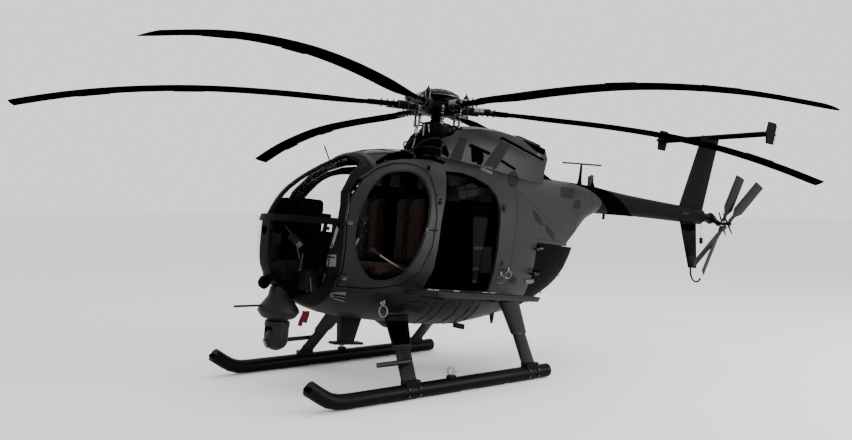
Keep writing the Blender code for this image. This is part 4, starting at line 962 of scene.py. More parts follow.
def door_details():
    """Window seals, window rims and edge strips lighter as painted highlights, hinges, handles and latches of the front
    and engine doors.
    """

    def along(outline, nodes, grow):
        """Traces a closed outline that is grown from its middle by a share."""
        centre = (sum(p[0] for p in outline) / len(outline), sum(p[1] for p in outline) / len(outline))
        line = [(u + (u - centre[0]) * grow, v + (v - centre[1]) * grow) for u, v in outline]
        return trace_line(line + line[:1], from_side, nodes, 1.0)

    def strap(solids, ray, nodes, halves):
        """Hinge strap with three screws."""
        place, normal = cast(ray, nodes)
        solids.block(place + normal * 0.002, (FORE, normal, MAST), halves)
        for off in (-0.03, 0.0, 0.03):
            solids.dome(place + normal * 0.004 + FORE * off, normal, 0.0045)

    window = [(0.72, 1.905), (0.90, 1.86), (1.03, 1.76), (1.17, 1.56), (1.23, 1.36), (1.23, 1.18), (1.17, 1.03),
              (1.08, 0.935), (0.98, 0.905), (0.84, 0.93), (0.70, 1.03), (0.585, 1.25), (0.51, 1.51),
              (0.485, 1.70), (0.52, 1.84), (0.61, 1.90)]
    flat = smooth([Vector((u, v)) for u, v in window + window[:1]], 3)
    rim = Solids()
    rim.strip(along([tuple(p) for p in flat], DOOR, 0.045), 0.014, 0.003)
    seal = Solids()
    seal.strip(along([tuple(p) for p in flat], DOOR, 0.022), 0.010, 0.0045)
    edge = Solids()
    edge.strip(along(DOOR_EDGE, DOOR, -0.022), 0.006, 0.0025)
    screws = Solids()
    grown = [(0.86 + (p.x - 0.86) * 1.075, 1.41 + (p.y - 1.41) * 1.06) for p in flat]
    screws.rivets(grown + grown[:1], from_side, DOOR, 0.055, 0.0032)
    hardware, grips = Solids(), Solids()
    (a, out), (b, up) = cast(seen(428.8, 230.0), DOOR), cast(seen(437.5, 230.4), DOOR + SHELL)
    grips.tube((a + out * 0.002, a + out * 0.018, b + up * 0.018), (0.008, 0.008, 0.0064), 10)
    hardware.rod(b - up * 0.006, b + up * 0.024, 0.0064, 10)
    hardware.block(a + out * 0.001, (b - a, out, (b - a).cross(out)), (0.030, 0.004, 0.014))
    leaves = Solids()
    for z in (1.38, 0.90):
        strap(leaves, from_side(1.285, z), DOOR, (0.048, 0.003, 0.011))
    # The window rims and edge strips take the lighter hull grey: painted highlights along the window and the door's
    # edge
    door_pieces("front_door", (
        (rim, "window_rim_highlight", HULL_GREY_LIT), (edge, "edge_trim", HULL_GREY_LIT),
        (seal, "window_seal", RUBBER), (screws, "window_screws", DULL),
        (grips, "door_handles", RUBBER), (hardware, "door_latches", DULL),
        (leaves, "door_hinge_leaves", DULL),
    ))
    engine = Solids()
    for z in (1.33, 1.07):
        strap(engine, from_side(-1.09, z), ENGINE_DOOR, (0.05, 0.003, 0.012))
    rows = Solids()
    rows.rivets([(-1.07, 1.365), (-1.80, 1.365)], from_side, ENGINE_DOOR, 0.035)
    rows.rivets([(-1.055, 0.78), (-1.055, 1.35)], from_side, ENGINE_DOOR, 0.035)
    for z in (0.95, 1.18):
        rows.rivets([(-1.08, z), (-1.70, z)], from_side, ENGINE_DOOR, 0.045)
    catches = Solids()
    for x, z in ((-1.50, 0.86), (-1.72, 1.06), (-1.25, 0.755)):
        place, normal = cast(from_side(x, z), ENGINE_DOOR)
        catches.block(place + normal * 0.002, (turn(1, 0, 0.6), normal, turn(-0.6, 0, 1)), (0.022, 0.004, 0.012))
    door_pieces("engine_door", (
        (engine, "engine_door_straps", DULL), (rows, "engine_door_rivets", PATCH),
        (catches, "engine_door_catches", BRIGHT),
    ))


# Skins: each hard CAD part with its facets shaded as the smooth panels that they stand for
REDRAWN = ("seat_cushion", "seat_back", "main_rotor_blade", "tail_rotor_hub")
BOOM_END = -4.51
BALL_RADIUS = 0.088
BALL_CENTRE = (-4.76, 0.0, 1.970)


def skin_point(name, at):
    """Where a skin's vertex goes: four skins follow the photograph where it differs a little from the solid."""
    place = to_level(at)
    if name == "tail_gearbox":
        middle = level(*BALL_CENTRE)
        if abs((at - middle).length - BALL_RADIUS) < 0.004:
            return middle + (at - middle) * 0.84
    if name == "tail_boom" and place.x < BOOM_END:
        return level(BOOM_END, place.y, place.z)
    if name == "boom_antenna" and place.z > 2.355 and abs(place.x + 2.17) > 0.03:
        return level(place.x, place.y, place.z - 0.077 * (place.x + 2.185))
    if name == "instrument_console" and place.x > 1.235 and place.z > 1.245:
        return level(1.36 + (place.x - 1.24) * 0.684, place.y * 0.8, place.z)
    return at


def add_skins():
    """A skin for each CAD node that isn't redrawn; the stabiliser's underside is black as painted shade."""
    for name, node in NODES.items():
        if name.startswith(REDRAWN):
            continue
        mesh = node.data.copy()
        mesh.name = f"{name}_skin"
        work = bmesh.new()
        work.from_mesh(mesh)
        bmesh.ops.remove_doubles(work, verts=work.verts, dist=0.00002)
        bmesh.ops.dissolve_degenerate(work, edges=work.edges, dist=0.00002)
        work.to_mesh(mesh)
        work.free()
        for layer in ("custom_normal", "sharp_edge", "sharp_face"):
            if layer in mesh.attributes:
                mesh.attributes.remove(mesh.attributes[layer])
        mesh.shade_smooth()
        mesh.set_sharp_from_angle(angle=math.radians(SKIN_SHARP))
        for v in mesh.vertices:
            v.co = skin_point(name, v.co)
        # The stabiliser's downward faces are black: painted shade
        if name == "stabiliser":
            mesh.materials.append(BLACK)
            for face in mesh.polygons:
                if face.normal.z < -0.5:
                    face.material_index = 1
        skin = placed(f"{name}_skin", mesh)
        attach(skin, node["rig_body"])
        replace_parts(skin, name)


add_skins()


# Seats: blown up as cloth over a slightly smaller block, then fitted to the CAD cushion's room
CUSHION = ((0.53, 0.12, 0.932), (1.00, 0.54, 1.06))
BACK = ((0.417, 0.13, 1.065), (0.52, 0.53, 1.68))
PAD_VOXEL = 0.006
PAD_FRAMES = 20
PAD_PRESSURE = 4.0
CHANNEL_DEPTH = 0.12
CHANNEL_WIDTH = 0.007


def soft_pad(name, low, high, cap, channels):
    """Crowned cushion between two corners in airframe coordinates; channels are (axis, place) grooves."""
    low, high = Vector(low), Vector(high)
    size = high - low
    work = bmesh.new()
    bmesh.ops.create_cube(work, size=1.0)
    for v in work.verts:
        v.co = Vector([v.co[i] * size[i] * 0.93 for i in range(3)])
    bmesh.ops.bevel(work, geom=work.edges[:], offset=min(size) * 0.22, segments=3, affect="EDGES")
    mesh = bpy.data.meshes.new(name)
    work.to_mesh(mesh)
    work.free()
    obj = placed(name, mesh)
    remesh = obj.modifiers.new("remesh", "REMESH")
    remesh.mode = "VOXEL"
    remesh.voxel_size = PAD_VOXEL
    still = np.array([v.co for v in evaluated(obj).vertices])
    points = still
    puff = obj.modifiers.new("cloth", "CLOTH")
    puff.settings.use_pressure = True
    puff.settings.uniform_pressure_force = PAD_PRESSURE
    puff.settings.quality = 4
    puff.settings.effector_weights.gravity = 0.0
    scene = bpy.context.scene
    for step in range(1, PAD_FRAMES + 1):
        scene.frame_set(step)
    points = np.array([v.co for v in evaluated(obj).vertices])
    scene.frame_set(1)
    mesh = evaluated(obj)
    obj.modifiers.clear()
    shift = points - still
    length = np.linalg.norm(shift, axis=1, keepdims=True)
    points = still + shift * np.minimum(1.0, cap / np.maximum(length, 1e-9))
    middle = (points.max(0) + points.min(0)) / 2
    points = (points - middle) / (points.max(0) - points.min(0)) * (np.array(size) - 0.004)
    for axis, place in channels:
        away = points[:, axis] - place * size[axis]
        thin = int(np.argmin(size))
        points[:, thin] *= 1 - CHANNEL_DEPTH * np.exp(-(away / CHANNEL_WIDTH) ** 2)
    centre = (low + high) / 2
    mesh.vertices.foreach_set("co", np.array([
        level(*(Vector(p) + centre)) for p in points.tolist()
    ], dtype=np.float32).ravel())
    mesh.name = name
    mesh.shade_smooth()
    mesh.materials.clear()
    mesh.materials.append(SEAT_CLOTH)
    obj.data = mesh
    subdivided = obj.modifiers.new("smooth", "SUBSURF")
    subdivided.levels = subdivided.render_levels = 1
    obj.data = evaluated(obj)
    obj.modifiers.clear()
    TREES[(name,)] = BVHTree.FromPolygons([v.co.copy() for v in obj.data.vertices],
                                          [list(p.vertices) for p in obj.data.polygons])
    return obj


def evaluated(obj):
    """A new mesh with the object's modifiers applied."""
    bpy.context.view_layer.update()
    graph = bpy.context.evaluated_depsgraph_get()
    return bpy.data.meshes.new_from_object(obj.evaluated_get(graph))


def add_seats():
    """Both seats' cushions and backs, with piping, straps and buckles."""
    cushion = soft_pad("port_seat_cushion", *CUSHION, 0.020, ((0, -0.22), (0, 0.20)))
    back = soft_pad("port_seat_back", *BACK, 0.016, ((2, -0.20), (2, 0.24)))
    for obj, node, fill in ((cushion, "seat_cushion", 0.75), (back, "seat_back", 0.7)):
        twin = obj.data.copy()
        twin.transform(Matrix.Scale(-1, 4, (0, 1, 0)))
        twin.flip_normals()
        other = placed(obj.name.replace("port", "starboard"), twin)
        for piece, side in ((obj, "port"), (other, "starboard")):
            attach(piece, "airframe")
            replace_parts(piece, f"{node}_{side}")
    piping = Solids()
    for (x0, y0, z0), (x1, y1, z1) in (CUSHION, BACK):
        deep = x1 - x0 > 0.2
        (u0, v0), (u1, v1), rim = ((x0, y0), (x1, y1), 0.02) if deep else ((z0, y0), (z1, y1), 0.022)
        corners = ([(u1 - rim, v0 + rim), (u1 - rim, v1 - rim), (u0 + rim, v1 - rim), (u0 + rim, v0 + rim)] if deep else
                   [(v0 + rim, u0 + rim), (v1 - rim, u0 + rim), (v1 - rim, u1 - rim), (v0 + rim, u1 - rim)])
        caster = from_top if deep else from_front
        name = ("port_seat_cushion",) if deep else ("port_seat_back",)
        piping.tube([place for place, _ in met([caster(u, v) for u, v in refine(corners, 0.015)], name)],
                    0.0035, 6, True)
    piping.both().piece("seat_piping", SEAT_CLOTH, "seat_fabric")
    straps, buckles = Solids(), Solids()
    for shift, spread in ((-0.021, -0.024), (0.021, 0.024)):
        trace = [(level(0.418, SEAT_Y + shift, 1.735), FORE)]
        trace += met([from_front(SEAT_Y + shift + (spread - shift) * t, 1.655 - 0.50 * t)
                      for t in (k / 23 for k in range(24))], ("port_seat_back",))
        trace.append((level(0.56, SEAT_Y + spread * 0.6, 1.085), turn(0.4, 0, 1)))
        straps.strip(trace, 0.042, 0.003, 0.001)
        buckles.block(trace[8][0] + FORE * 0.006, UPRIGHT, (0.016, 0.004, 0.026))
    for side in (-1, 1):
        rays = [from_top(0.60 - 0.03 * t, SEAT_Y + side * (0.03 + 0.17 * t)) for t in (k / 11 for k in range(12))]
        straps.strip(met(rays, ("port_seat_cushion",)), 0.045, 0.003, 0.001)
    place, normal = cast(from_top(0.60, SEAT_Y), ("port_seat_cushion",))
    buckles.block(place + normal * 0.010, FACING_AFT, (0.032, 0.009, 0.026))
    straps.both().piece("harness_straps", WEBBING, "seat_fabric")
    buckles.both().piece("harness_buckles", HUB_METAL, "bare_metal")


def pod_outline(x, inset, low):
    """Half of the cabin's cross-section at a station, inset from the skin, above a height."""
    half, mid, high = 0.695 - inset, 1.215, 2.170 - inset
    out = []
    for k in range(13):
        t = math.pi / 2 * k / 12
        y = half * math.cos(t) ** (2 / 2.3)
        z = mid + (high - mid) * math.sin(t) ** (2 / 2.3)
        out.append((y, max(z, low)))
    return out


def cabin_details():
    """Upper bulkhead, shelf, instrument panel, controls and loose kit that show through the windows."""
    wall = Solids()
    half = pod_outline(0.40, 0.036, 1.722)
    outline = [level(0.388, y, z) for y, z in half] + [level(0.388, -y, z) for y, z in reversed(half)]
    wall.prism(outline, FORE * 0.022)
    wall.piece("upper_bulkhead", INSIDE)
    frames = Solids()
    for y in (-0.46, -0.30, -0.14, 0.02, 0.18, 0.34, 0.48):
        frames.block(level(0.418, y, 1.90), UPRIGHT, (0.165 if abs(y) < 0.4 else 0.10, 0.008, 0.010))
    for x, z, axes, halves in (
        (0.422, 1.735, ACROSS, (0.53, 0.012, 0.016)), (0.422, 1.80, ACROSS, (0.50, 0.007, 0.007)),
        (0.424, 1.35, UPRIGHT, (0.33, 0.010, 0.075)), (0.438, 1.08, ACROSS, (0.060, 0.006, 0.022)),
        (0.438, 1.16, ACROSS, (0.060, 0.006, 0.022)), (0.438, 1.24, ACROSS, (0.060, 0.006, 0.022)),
    ):
        frames.block(level(x, 0, z), axes, halves)
    frames.piece("bulkhead_frames", BLACK, "cabin_black")
    kit = Solids()
    for place, halves in (((0.46, 0.06, 1.885), (0.085, 0.045, 0.075)), ((0.475, -0.20, 1.875), (0.060, 0.045, 0.060)),
                          ((0.44, 0.42, 1.83), (0.05, 0.022, 0.045))):
        kit.block(level(*place), UPRIGHT, halves)
    kit.piece("overhead_boxes", PATCH, "cabin_black")
    edge = Solids()
    edge.rod(level(0.508, 0.138, 1.80), level(0.508, 0.138, 1.972), 0.0028, 6)
    edge.rod(level(0.508, 0.02, 1.972), level(0.508, 0.138, 1.972), 0.0028, 6)
    edge.piece("overhead_box_edge", DULL)
    face, glow, rims, hands = Solids(), Solids(), Solids(), Solids()
    for k, (y, z, size) in enumerate((
        (-0.22, 1.49, 0.038), (-0.13, 1.49, 0.038), (0.13, 1.49, 0.038), (0.22, 1.49, 0.038),
        (-0.22, 1.39, 0.038), (0.22, 1.39, 0.038), (-0.20, 1.305, 0.024), (0.20, 1.305, 0.024),
        (-0.13, 1.315, 0.024), (0.13, 1.315, 0.024),
    )):
        centre = level(PANEL_X, y * 0.8, z)
        r = size * 0.9
        face.lathe(centre, AFT, ((0, r), (0.004, r), (0.0042, r * 0.9)), 24)
        rims.ring(centre + AFT * 0.004, AFT, r * 0.96, 0.0035, 24)
        lean = 0.6 + 1.1 * k
        tip = centre + AFT * 0.0065 + (PORT * math.cos(lean) + MAST * math.sin(lean)) * r * 0.7
        hands.rod(centre + AFT * 0.0065, tip, 0.0014, 6)
        for t in around(12):
            mark = PORT * math.cos(t) + MAST * math.sin(t)
            hands.rod(centre + AFT * 0.0048 + mark * r * 0.74, centre + AFT * 0.0048 + mark * r * 0.88, 0.0009, 4)
    glow.block(level(PANEL_X - 0.004, 0, 1.43), FACING_AFT, (0.058, 0.055, 0.006))
    rims.block(level(PANEL_X - 0.002, 0, 1.43), FACING_AFT, (0.066, 0.064, 0.006))
    for row in range(6):
        for side in (-1, 1):
            glow.block(level(1.1985, side * 0.075, 1.20 - 0.065 * row), FACING_AFT, (0.055, 0.022, 0.004))
            for k in range(4):
                y, z = side * 0.075 - 0.036 + 0.024 * k, 1.165 - 0.065 * row + 0.01
                rims.rod(level(1.199, y, z), level(1.186, y, z), 0.0045, 8)
    face.piece("gauge_faces", BLACK, "cabin_black")
    glow.piece("instrument_screens", LENS, "cabin_black")
    rims.piece("instrument_bezels", PATCH, "cabin_black")
    hands.piece("gauge_hands", PALE, "bare_metal")
    controls = Solids()
    grips = Solids()
    for side in (1, -1):
        y = side * SEAT_Y
        stick = [level(1.10, y, 0.732), level(1.13, y, 0.90), level(1.10, y, 1.10), level(1.025, y, 1.27)]
        controls.tube(smooth(stick), 0.011, 8)
        grips.tube([level(1.03, y, 1.26), level(1.01, y, 1.31), level(1.0, y, 1.37), level(1.005, y, 1.425)],
                   [0.018, 0.022, 0.020, 0.026], 12)
        grips.block(level(0.995, y, 1.44), AXES, (0.034, 0.024, 0.022), 0.3)
        grips.block(level(0.985, y + 0.012, 1.34), AXES, (0.012, 0.026, 0.016), 0.3)
        hand = side * 0.575
        controls.tube([level(0.66, hand, 1.00), level(0.84, hand, 1.075), level(0.96, hand, 1.13)], 0.0085, 8)
        grips.tube([level(0.96, hand, 1.13), level(1.025, hand, 1.155)], 0.017, 10)
        grips.block(level(1.045, hand, 1.165), AXES, (0.028, 0.024, 0.024), 0.3)
        for off in (-0.10, 0.10):
            foot = y * 0.86 + off * 0.7
            controls.tube(smooth([level(1.36, foot, 0.74), level(1.38, foot, 0.84), level(1.36, foot, 0.93)]), 0.008, 8)
            grips.block(level(1.352, foot, 0.94), FACING_AFT, (0.042, 0.032, 0.008))
    controls.piece("control_levers", BRIGHT)
    grips.piece("control_grips", RUBBER, "cabin_black")
    red = Solids()
    red.lathe(level(0.992, SEAT_Y + 0.022, 1.405), turn(0, 1, 0.1), ((0, 0.010), (0.008, 0.010), (0.010, 0.006)), 12)
    red.piece("grip_button", RED_TAPE, "cabin_black")
    nose = Solids()
    base = meet(296.0, 240.5, level(1.665, 0.06, 1.2), turn(1, 0.6, 0))
    long = (RIGHT * 20.5 - UP * 19.5).normalized()
    wide = (RIGHT * 8.0 + UP * 7.2).normalized()
    nose.block(base, (long, wide, AHEAD), (0.072, 0.034, 0.014))
    nose.piece("nose_display_unit", PATCH, "cabin_black")
    tag = Solids()
    tag.block(base + long * 0.046 - wide * 0.004 - AHEAD * 0.0145, (long, wide, AHEAD), (0.020, 0.024, 0.001))
    place = meet(300.0, 269.8, level(1.64, 0.12, 1.0), turn(1, 0.6, 0))
    tag.ball(place, 0.013)
    tag.piece("nose_pale_tags", PALE, "bare_metal")
    arms = Solids()
    arms.rod(base, base - UP * 0.17 + RIGHT * 0.03 + AHEAD * 0.02, 0.006, 8)
    arms.rod(base, base + UP * 0.13 - RIGHT * 0.10 + AHEAD * 0.05, 0.005, 8)
    arms.rod(place, place + UP * 0.14 + RIGHT * 0.02 + AHEAD * 0.04, 0.006, 8)
    arms.rod(place, place + AHEAD * 0.16 - UP * 0.01, 0.006, 8)
    for px in (307.2, 311.0):
        low = meet(px, 292.0, level(1.60, 0.20, 1.0), turn(1, 0.4, 0))
        top = meet(px - 0.6, 277.0, level(1.60, 0.20, 1.0), turn(1, 0.4, 0))
        bend = [low + AHEAD * 0.12, low + AHEAD * 0.02, low.lerp(top, 0.3), top, top + AHEAD * 0.10]
        arms.tube(smooth(bend), 0.006, 8)
    arms.piece("nose_brackets", DULL)
    shelf = Solids()
    shelf.block(level(1.585, 0.0, 0.93), FACING_AFT, (0.20, 0.085, 0.10))
    for y in (0.33, -0.33):
        shelf.block(level(1.50, y, 0.86), FACING_AFT, (0.06, 0.09, 0.07))
    shelf.piece("nose_equipment", FRAME_SHADED_GREY, "cabin_black")
    lining = Solids()
    trace = [(1.70, -0.08), (1.66, -0.20), (1.58, -0.31), (1.46, -0.41), (1.30, -0.48)]
    for (x0, y0), (x1, y1) in zip(trace[:-1], trace[1:]):
        lining.prism([level(x0, y0, 0.80), level(x1, y1, 0.80), level(x1, y1, 1.46), level(x0, y0, 1.46)],
                     turn(-0.8, 0.6, 0) * 0.006)
        lining.rod(level(x1, y1, 0.82), level(x1, y1, 1.45), 0.008, 8)
    for z in (0.95, 1.15, 1.32):
        lining.tube([level(x - 0.006, y + 0.008, z) for x, y in trace], 0.007, 6)
    lining.piece("nose_side_lining", PANEL_GREY, "cabin_black")
    hood = Solids()
    for px, py, w in ((304.0, 214.0, 0.05), (323.6, 217.5, 0.045)):
        spot = meet(px, py, level(1.36, 0.20, 1.50), turn(1, 0.3, 0))
        hood.block(spot, FACING_AFT, (w, 0.035, 0.05))
    hood.piece("hood_boxes", INSIDE)


def rear_cabin_details():
    """Panels, pale tags, ducts with their seams, and wiring that show in the rear doorways."""
    cabinet = ("rear_cabinet", "engine_firewall")
    panel = Solids()
    panel.cover([(474.6, 207.0), (490.6, 207.0), (478.4, 281.0), (474.2, 281.0)], cabinet, 0.02, 4.0)
    panel.cover([(482.0, 246.6), (492.6, 246.6), (491.8, 273.0), (480.6, 273.0)], cabinet, 0.012, 4.0)
    panel.piece("cabinet_panels", PANEL_GREY, "cabin_black")
    tags = Solids()
    for u0, v0, u1, v1 in ((475.2, 246.8, 484.4, 249.8), (474.4, 267.6, 480.4, 270.2), (474.0, 280.2, 478.0, 283.0)):
        tags.cover([(u0, v0), (u1, v0), (u1, v1), (u0, v1)], cabinet, 0.024, 2.0)
    tags.cover(pixel_bar((475.2, 207.0), (474.9, 213.0), 1.0), cabinet, 0.023, 1.0)
    tags.cover(pixel_bar((475.0, 207.4), (490.4, 207.6), 0.8), cabinet, 0.023, 1.5)
    tags.piece("cabinet_tags", PALE)
    ducts = Solids()

    def facing(outline, x, depth, target):
        """Box whose front face has this outline in the photograph's frame."""
        target.prism([meet(px, py, level(x, 0, 1.5), FORE) for px, py in outline], AFT * depth)

    facing([(457.0, 187.2), (472.6, 183.0), (478.4, 187.0), (478.0, 195.0), (460.0, 199.4)], -0.50, 0.34, ducts)
    facing([(447.0, 174.0), (458.0, 176.5), (459.0, 184.5), (449.0, 186.0)], -0.46, 0.30, ducts)
    ducts.piece("air_ducts", DUCT_GREY, "cabin_black")
    seams = Solids()
    for ends in (((464.5, 185.2), (467.5, 197.4)), ((457.4, 190.5), (478.4, 188.0))):
        seams.rod(*(meet(px, py, level(-0.50, 0, 1.5), FORE) for px, py in ends), 0.006, 6)
    facing([(444.6, 186.0), (457.6, 186.0), (459.6, 201.0), (444.6, 201.0)], -0.505, 0.20, seams)
    facing([(479.6, 196.0), (491.6, 194.6), (492.6, 202.0), (479.8, 202.0)], -0.505, 0.20, seams)
    seams.piece("duct_seams", RUBBER, "cabin_black")
    hose = Solids()
    hose.tube(smooth([level(-0.58, 0.44, 1.615), level(-0.62, 0.36, 1.66), level(-0.70, 0.30, 1.63),
                      level(-0.78, 0.20, 1.66), level(-0.82, 0.05, 1.62)]), 0.016, 8)
    hose.piece("cabin_wiring", RUBBER, "cabin_black")


def bench_details():
    """Edge tubes, end fittings and bolts of the two side benches."""
    edges = Solids()
    line = [(0.70, 0.70), (0.68, 0.90), (0.60, 1.02), (0.54, 1.04), (-0.50, 1.04), (-0.61, 1.01), (-0.69, 0.82)]
    path = smooth([level(x, y, BENCH_TOP - 0.010) for x, y in line], 3)
    edges.tube(path, 0.012, 8)
    edges.both().piece("bench_edges", HULL)
    pale = Solids()
    for x in (0.46, 0.40, 0.16, -0.20, -0.30):
        pale.block(level(x, 0.70, BENCH_TOP + 0.004), AXES, (0.035, 0.018, 0.004))
    pale.both().piece("bench_fittings", BRIGHT)
    bolts = Solids()
    for k in range(16):
        for y in (1.018, 0.76):
            bolts.dome(level(0.48 - 0.065 * k, y, BENCH_TOP), MAST, 0.006)
    bolts.both().piece("bench_bolts", DULL)


# Rotors
ROTOR_Z = 2.657
BLADE_FIRST = math.radians(29.28)
BLADES = 6


def spoke(number):
    """A blade's direction and the one toward its leading edge, in the airframe's level frame."""
    lean = BLADE_FIRST - number * 2 * math.pi / BLADES
    return Vector((math.cos(lean), math.sin(lean), 0)), Vector((-math.sin(lean), math.cos(lean), 0))


def blade_height(reach):
    """Height of a parked blade's axis, which droops toward the tip."""
    return ROTOR_Z - 0.0325 * max(0.0, reach - 1.3) ** 2.3


# Stations along a blade, and for each blade the pitch in degrees at root and tip and how far it's lifted
BLADE_STATIONS = [0.42, 0.62, 0.80] + [1.0 + 0.157 * k for k in range(20)] + [4.10, 4.138]
BLADE_REACH = (0.80, 1.2, 1.8, 2.4, 3.0, 3.6, 4.0)
BLADE_SET = (
    (9.0, 8.0, (0.008, 0.022, 0.024, 0.024, 0.018, 0.010, -0.004)),
    (8.0, 8.0, (0.0, 0.003, 0.003, 0.006, 0.005, 0.005, 0.001)),
    (7.0, 11.0, (0.0, -0.004, -0.003, 0.006, 0.006, 0.008, 0.003)),
    (1.0, 1.0, (0.0, 0.0, 0.0, 0.0, 0.0, 0.0, 0.0)),
    (-5.0, -8.0, (-0.004, -0.013, -0.017, -0.018, -0.019, -0.032, -0.040)),
    (-8.5, -3.5, (-0.006, -0.022, -0.022, -0.016, -0.014, -0.014, -0.019)),
)


def blade_section(reach, number):
    """Rounded wing section of a parked blade: (toward the leading edge, up) pairs round the blade's axis."""
    root, tip, lifts = BLADE_SET[number]
    pitch = math.radians(float(np.interp(reach, (0.62, 1.1, 4.0), (0.0, root, tip))))
    lift = float(np.interp(reach, BLADE_REACH, lifts)) if reach > 0.7 else 0.0
    chord = float(np.interp(reach, (0.42, 0.62, 0.80, 4.14), (0.10, 0.11, 0.182, 0.182)))
    thick = float(np.interp(reach, (0.42, 0.62, 0.80, 4.09, 4.14), (0.062, 0.052, 0.031, 0.027, 0.015)))
    out = []
    for t in around(14):
        back = 0.5 - 0.5 * math.cos(t)
        along = chord * (0.27 - back)
        rise = 0.5 * thick * (1.35 - 0.9 * back) * math.sin(t)
        out.append((along * math.cos(pitch) - rise * math.sin(pitch),
                    along * math.sin(pitch) + rise * math.cos(pitch) + lift))
    return out


def rotor_details():
    """Fittings of the rotor head, and the six blades redrawn with their trim tabs."""
    bright, dull, dark = Solids(), Solids(), Solids()
    for number in range(BLADES):
        out, side = spoke(number)

        def at(reach, across, rise):
            p = out * reach + side * across
            return level(p.x, p.y, ROTOR_Z + rise)

        way, cross = (at(1, 0, 0) - at(0, 0, 0)), (at(0, 1, 0) - at(0, 0, 0))
        bright.rod(at(0.345, -0.115, 0), at(0.455, -0.115, 0), 0.0265, 14)
        dull.rod(at(0.455, -0.115, 0), at(0.525, -0.115, 0), 0.020, 12)
        for reach in (0.350, 0.405, 0.450):
            dull.ring(at(reach, -0.115, 0), way, 0.0265, 0.0025, 14)
        dark.rod(at(0.505, -0.115, 0), at(0.56, -0.055, 0), 0.011, 8)
        for reach in (0.175, 0.235, 0.300, 0.40):
            dull.ring(at(reach, 0, 0), way, 0.0465, 0.0045, 16)
        for reach, across in ((0.46, 0.022), (0.46, -0.022), (0.52, 0.026), (0.52, -0.026), (0.58, 0.028),
                              (0.58, -0.028)):
            bright.lathe(at(reach, across, 0.024), MAST,
                         ((0, 0.011), (0.010, 0.011), (0.012, 0.007), (0.018, 0.006)), 6)
            dull.lathe(at(reach, across, -0.024), -MAST, ((0, 0.011), (0.010, 0.010)), 6)
        for rise in (-0.045, -0.075, -0.125, -0.150):
            bright.rod(at(0.193, 0.134, rise), at(0.193, 0.134, rise - 0.014), 0.0165, 6)
        bright.ball(at(0.193, 0.134, -0.020), 0.020)
        bright.ball(at(0.193, 0.134, -0.182), 0.019)
        dark.block(at(0.60, 0.0, 0.0), (way, MAST, cross), (0.12, 0.0275, 0.026), 0.3)
        if number % 2 == 0:
            for across in (0.021, -0.021):
                bright.rod(at(0.280, across, 0.02), at(0.280, across, 0.125), 0.006, 8)
            bright.ball(at(0.280, 0, 0.172), 0.009)
            dull.ring(at(0.280, 0, 0.128), MAST, 0.026, 0.004, 12)
        for k in range(3):
            lean = math.radians(20 * k + 10)
            spot = out * math.cos(lean) + side * math.sin(lean)
            place = level(spot.x * 0.198, spot.y * 0.198, ROTOR_Z + 0.136)
            normal = turn(spot.x * 0.8, spot.y * 0.8, 1)
            bright.lathe(place, normal, ((-0.002, 0.007), (0.005, 0.007), (0.007, 0.004)), 6)
    bright.ring(level(0, 0, ROTOR_Z + 0.107), MAST, 0.216, 0.0032, 48)
    for lean in around(12):
        place = level(0.10 * math.cos(lean), 0.10 * math.sin(lean), ROTOR_Z + 0.1815)
        bright.lathe(place, MAST, ((-0.002, 0.006), (0.005, 0.006), (0.006, 0.004)), 6)
    dull.ring(level(0, 0, ROTOR_Z - 0.182), MAST, 0.128, 0.010, 32)
    dull.ring(level(0, 0, ROTOR_Z + 0.19), MAST, 0.030, 0.006, 20)
    dark.lathe(level(0, 0, ROTOR_Z - 0.215), MAST,
               ((0, 0.062), (0.004, 0.150), (0.050, 0.150), (0.062, 0.110), (0.066, 0.062)), 36)
    dark.lathe(level(0, 0, ROTOR_Z - 0.150), MAST,
               ((0, 0.062), (0.015, 0.074), (0.030, 0.060), (0.045, 0.074), (0.060, 0.060), (0.075, 0.074),
                (0.090, 0.060)), 28)
    bright.piece("hub_bright_parts", BRIGHT, body="main_rotor")
    dull.piece("hub_collars", DULL, body="main_rotor")
    dark.piece("blade_root_fittings", HUB_METAL, "rotor_black", "main_rotor")
    tabs = Solids()
    for number in range(BLADES):
        out, side = spoke(number)

        def place(reach, across, rise):
            p = out * reach + side * across
            return level(p.x, p.y, blade_height(reach) + rise)

        blade = Solids()
        blade.loft([[place(reach, along, rise) for along, rise in blade_section(reach, number)]
                    for reach in BLADE_STATIONS])
        name = f"main_rotor_blade_{number + 1}"
        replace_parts(blade.piece(f"{name}_skin", ROTOR, "rotor_black", "main_rotor", BLADE_SHARP), name)
        for reach in (2.35, 3.25):
            tail = min(blade_section(reach, number))
            far = min(blade_section(reach + 0.30, number))
            tabs.prism([
                place(reach, tail[0] + 0.006, tail[1] + 0.002), place(reach, tail[0] - 0.018, tail[1] + 0.002),
                place(reach + 0.30, far[0] - 0.018, far[1] + 0.002),
                place(reach + 0.30, far[0] + 0.006, far[1] + 0.002),
            ], DOWN * 0.004)
    tabs.piece("blade_trim_tabs", ROTOR, body="main_rotor")


# Tail rotor: its hub, rows of reach, chord, thickness and pitch, and each pair's angle, offset and lean
TAIL_HUB = Vector((-4.70, 0.28, 1.897))
TAIL_PITCH = math.radians(-30)
TAIL_BLADE = ((0.05, 0.05, 0.040, 0.0), (0.15, 0.045, 0.024, TAIL_PITCH), (0.25, 0.130, 0.018, TAIL_PITCH),
              (0.50, 0.130, 0.017, TAIL_PITCH), (0.790, 0.130, 0.015, TAIL_PITCH))
TAIL_LOWER_PITCH = 0.6
TAIL_PAIRS = ((32, -0.045, -3.2), (43, 0.035, 7))
GEARBOX_Z = BALL_CENTRE[2]


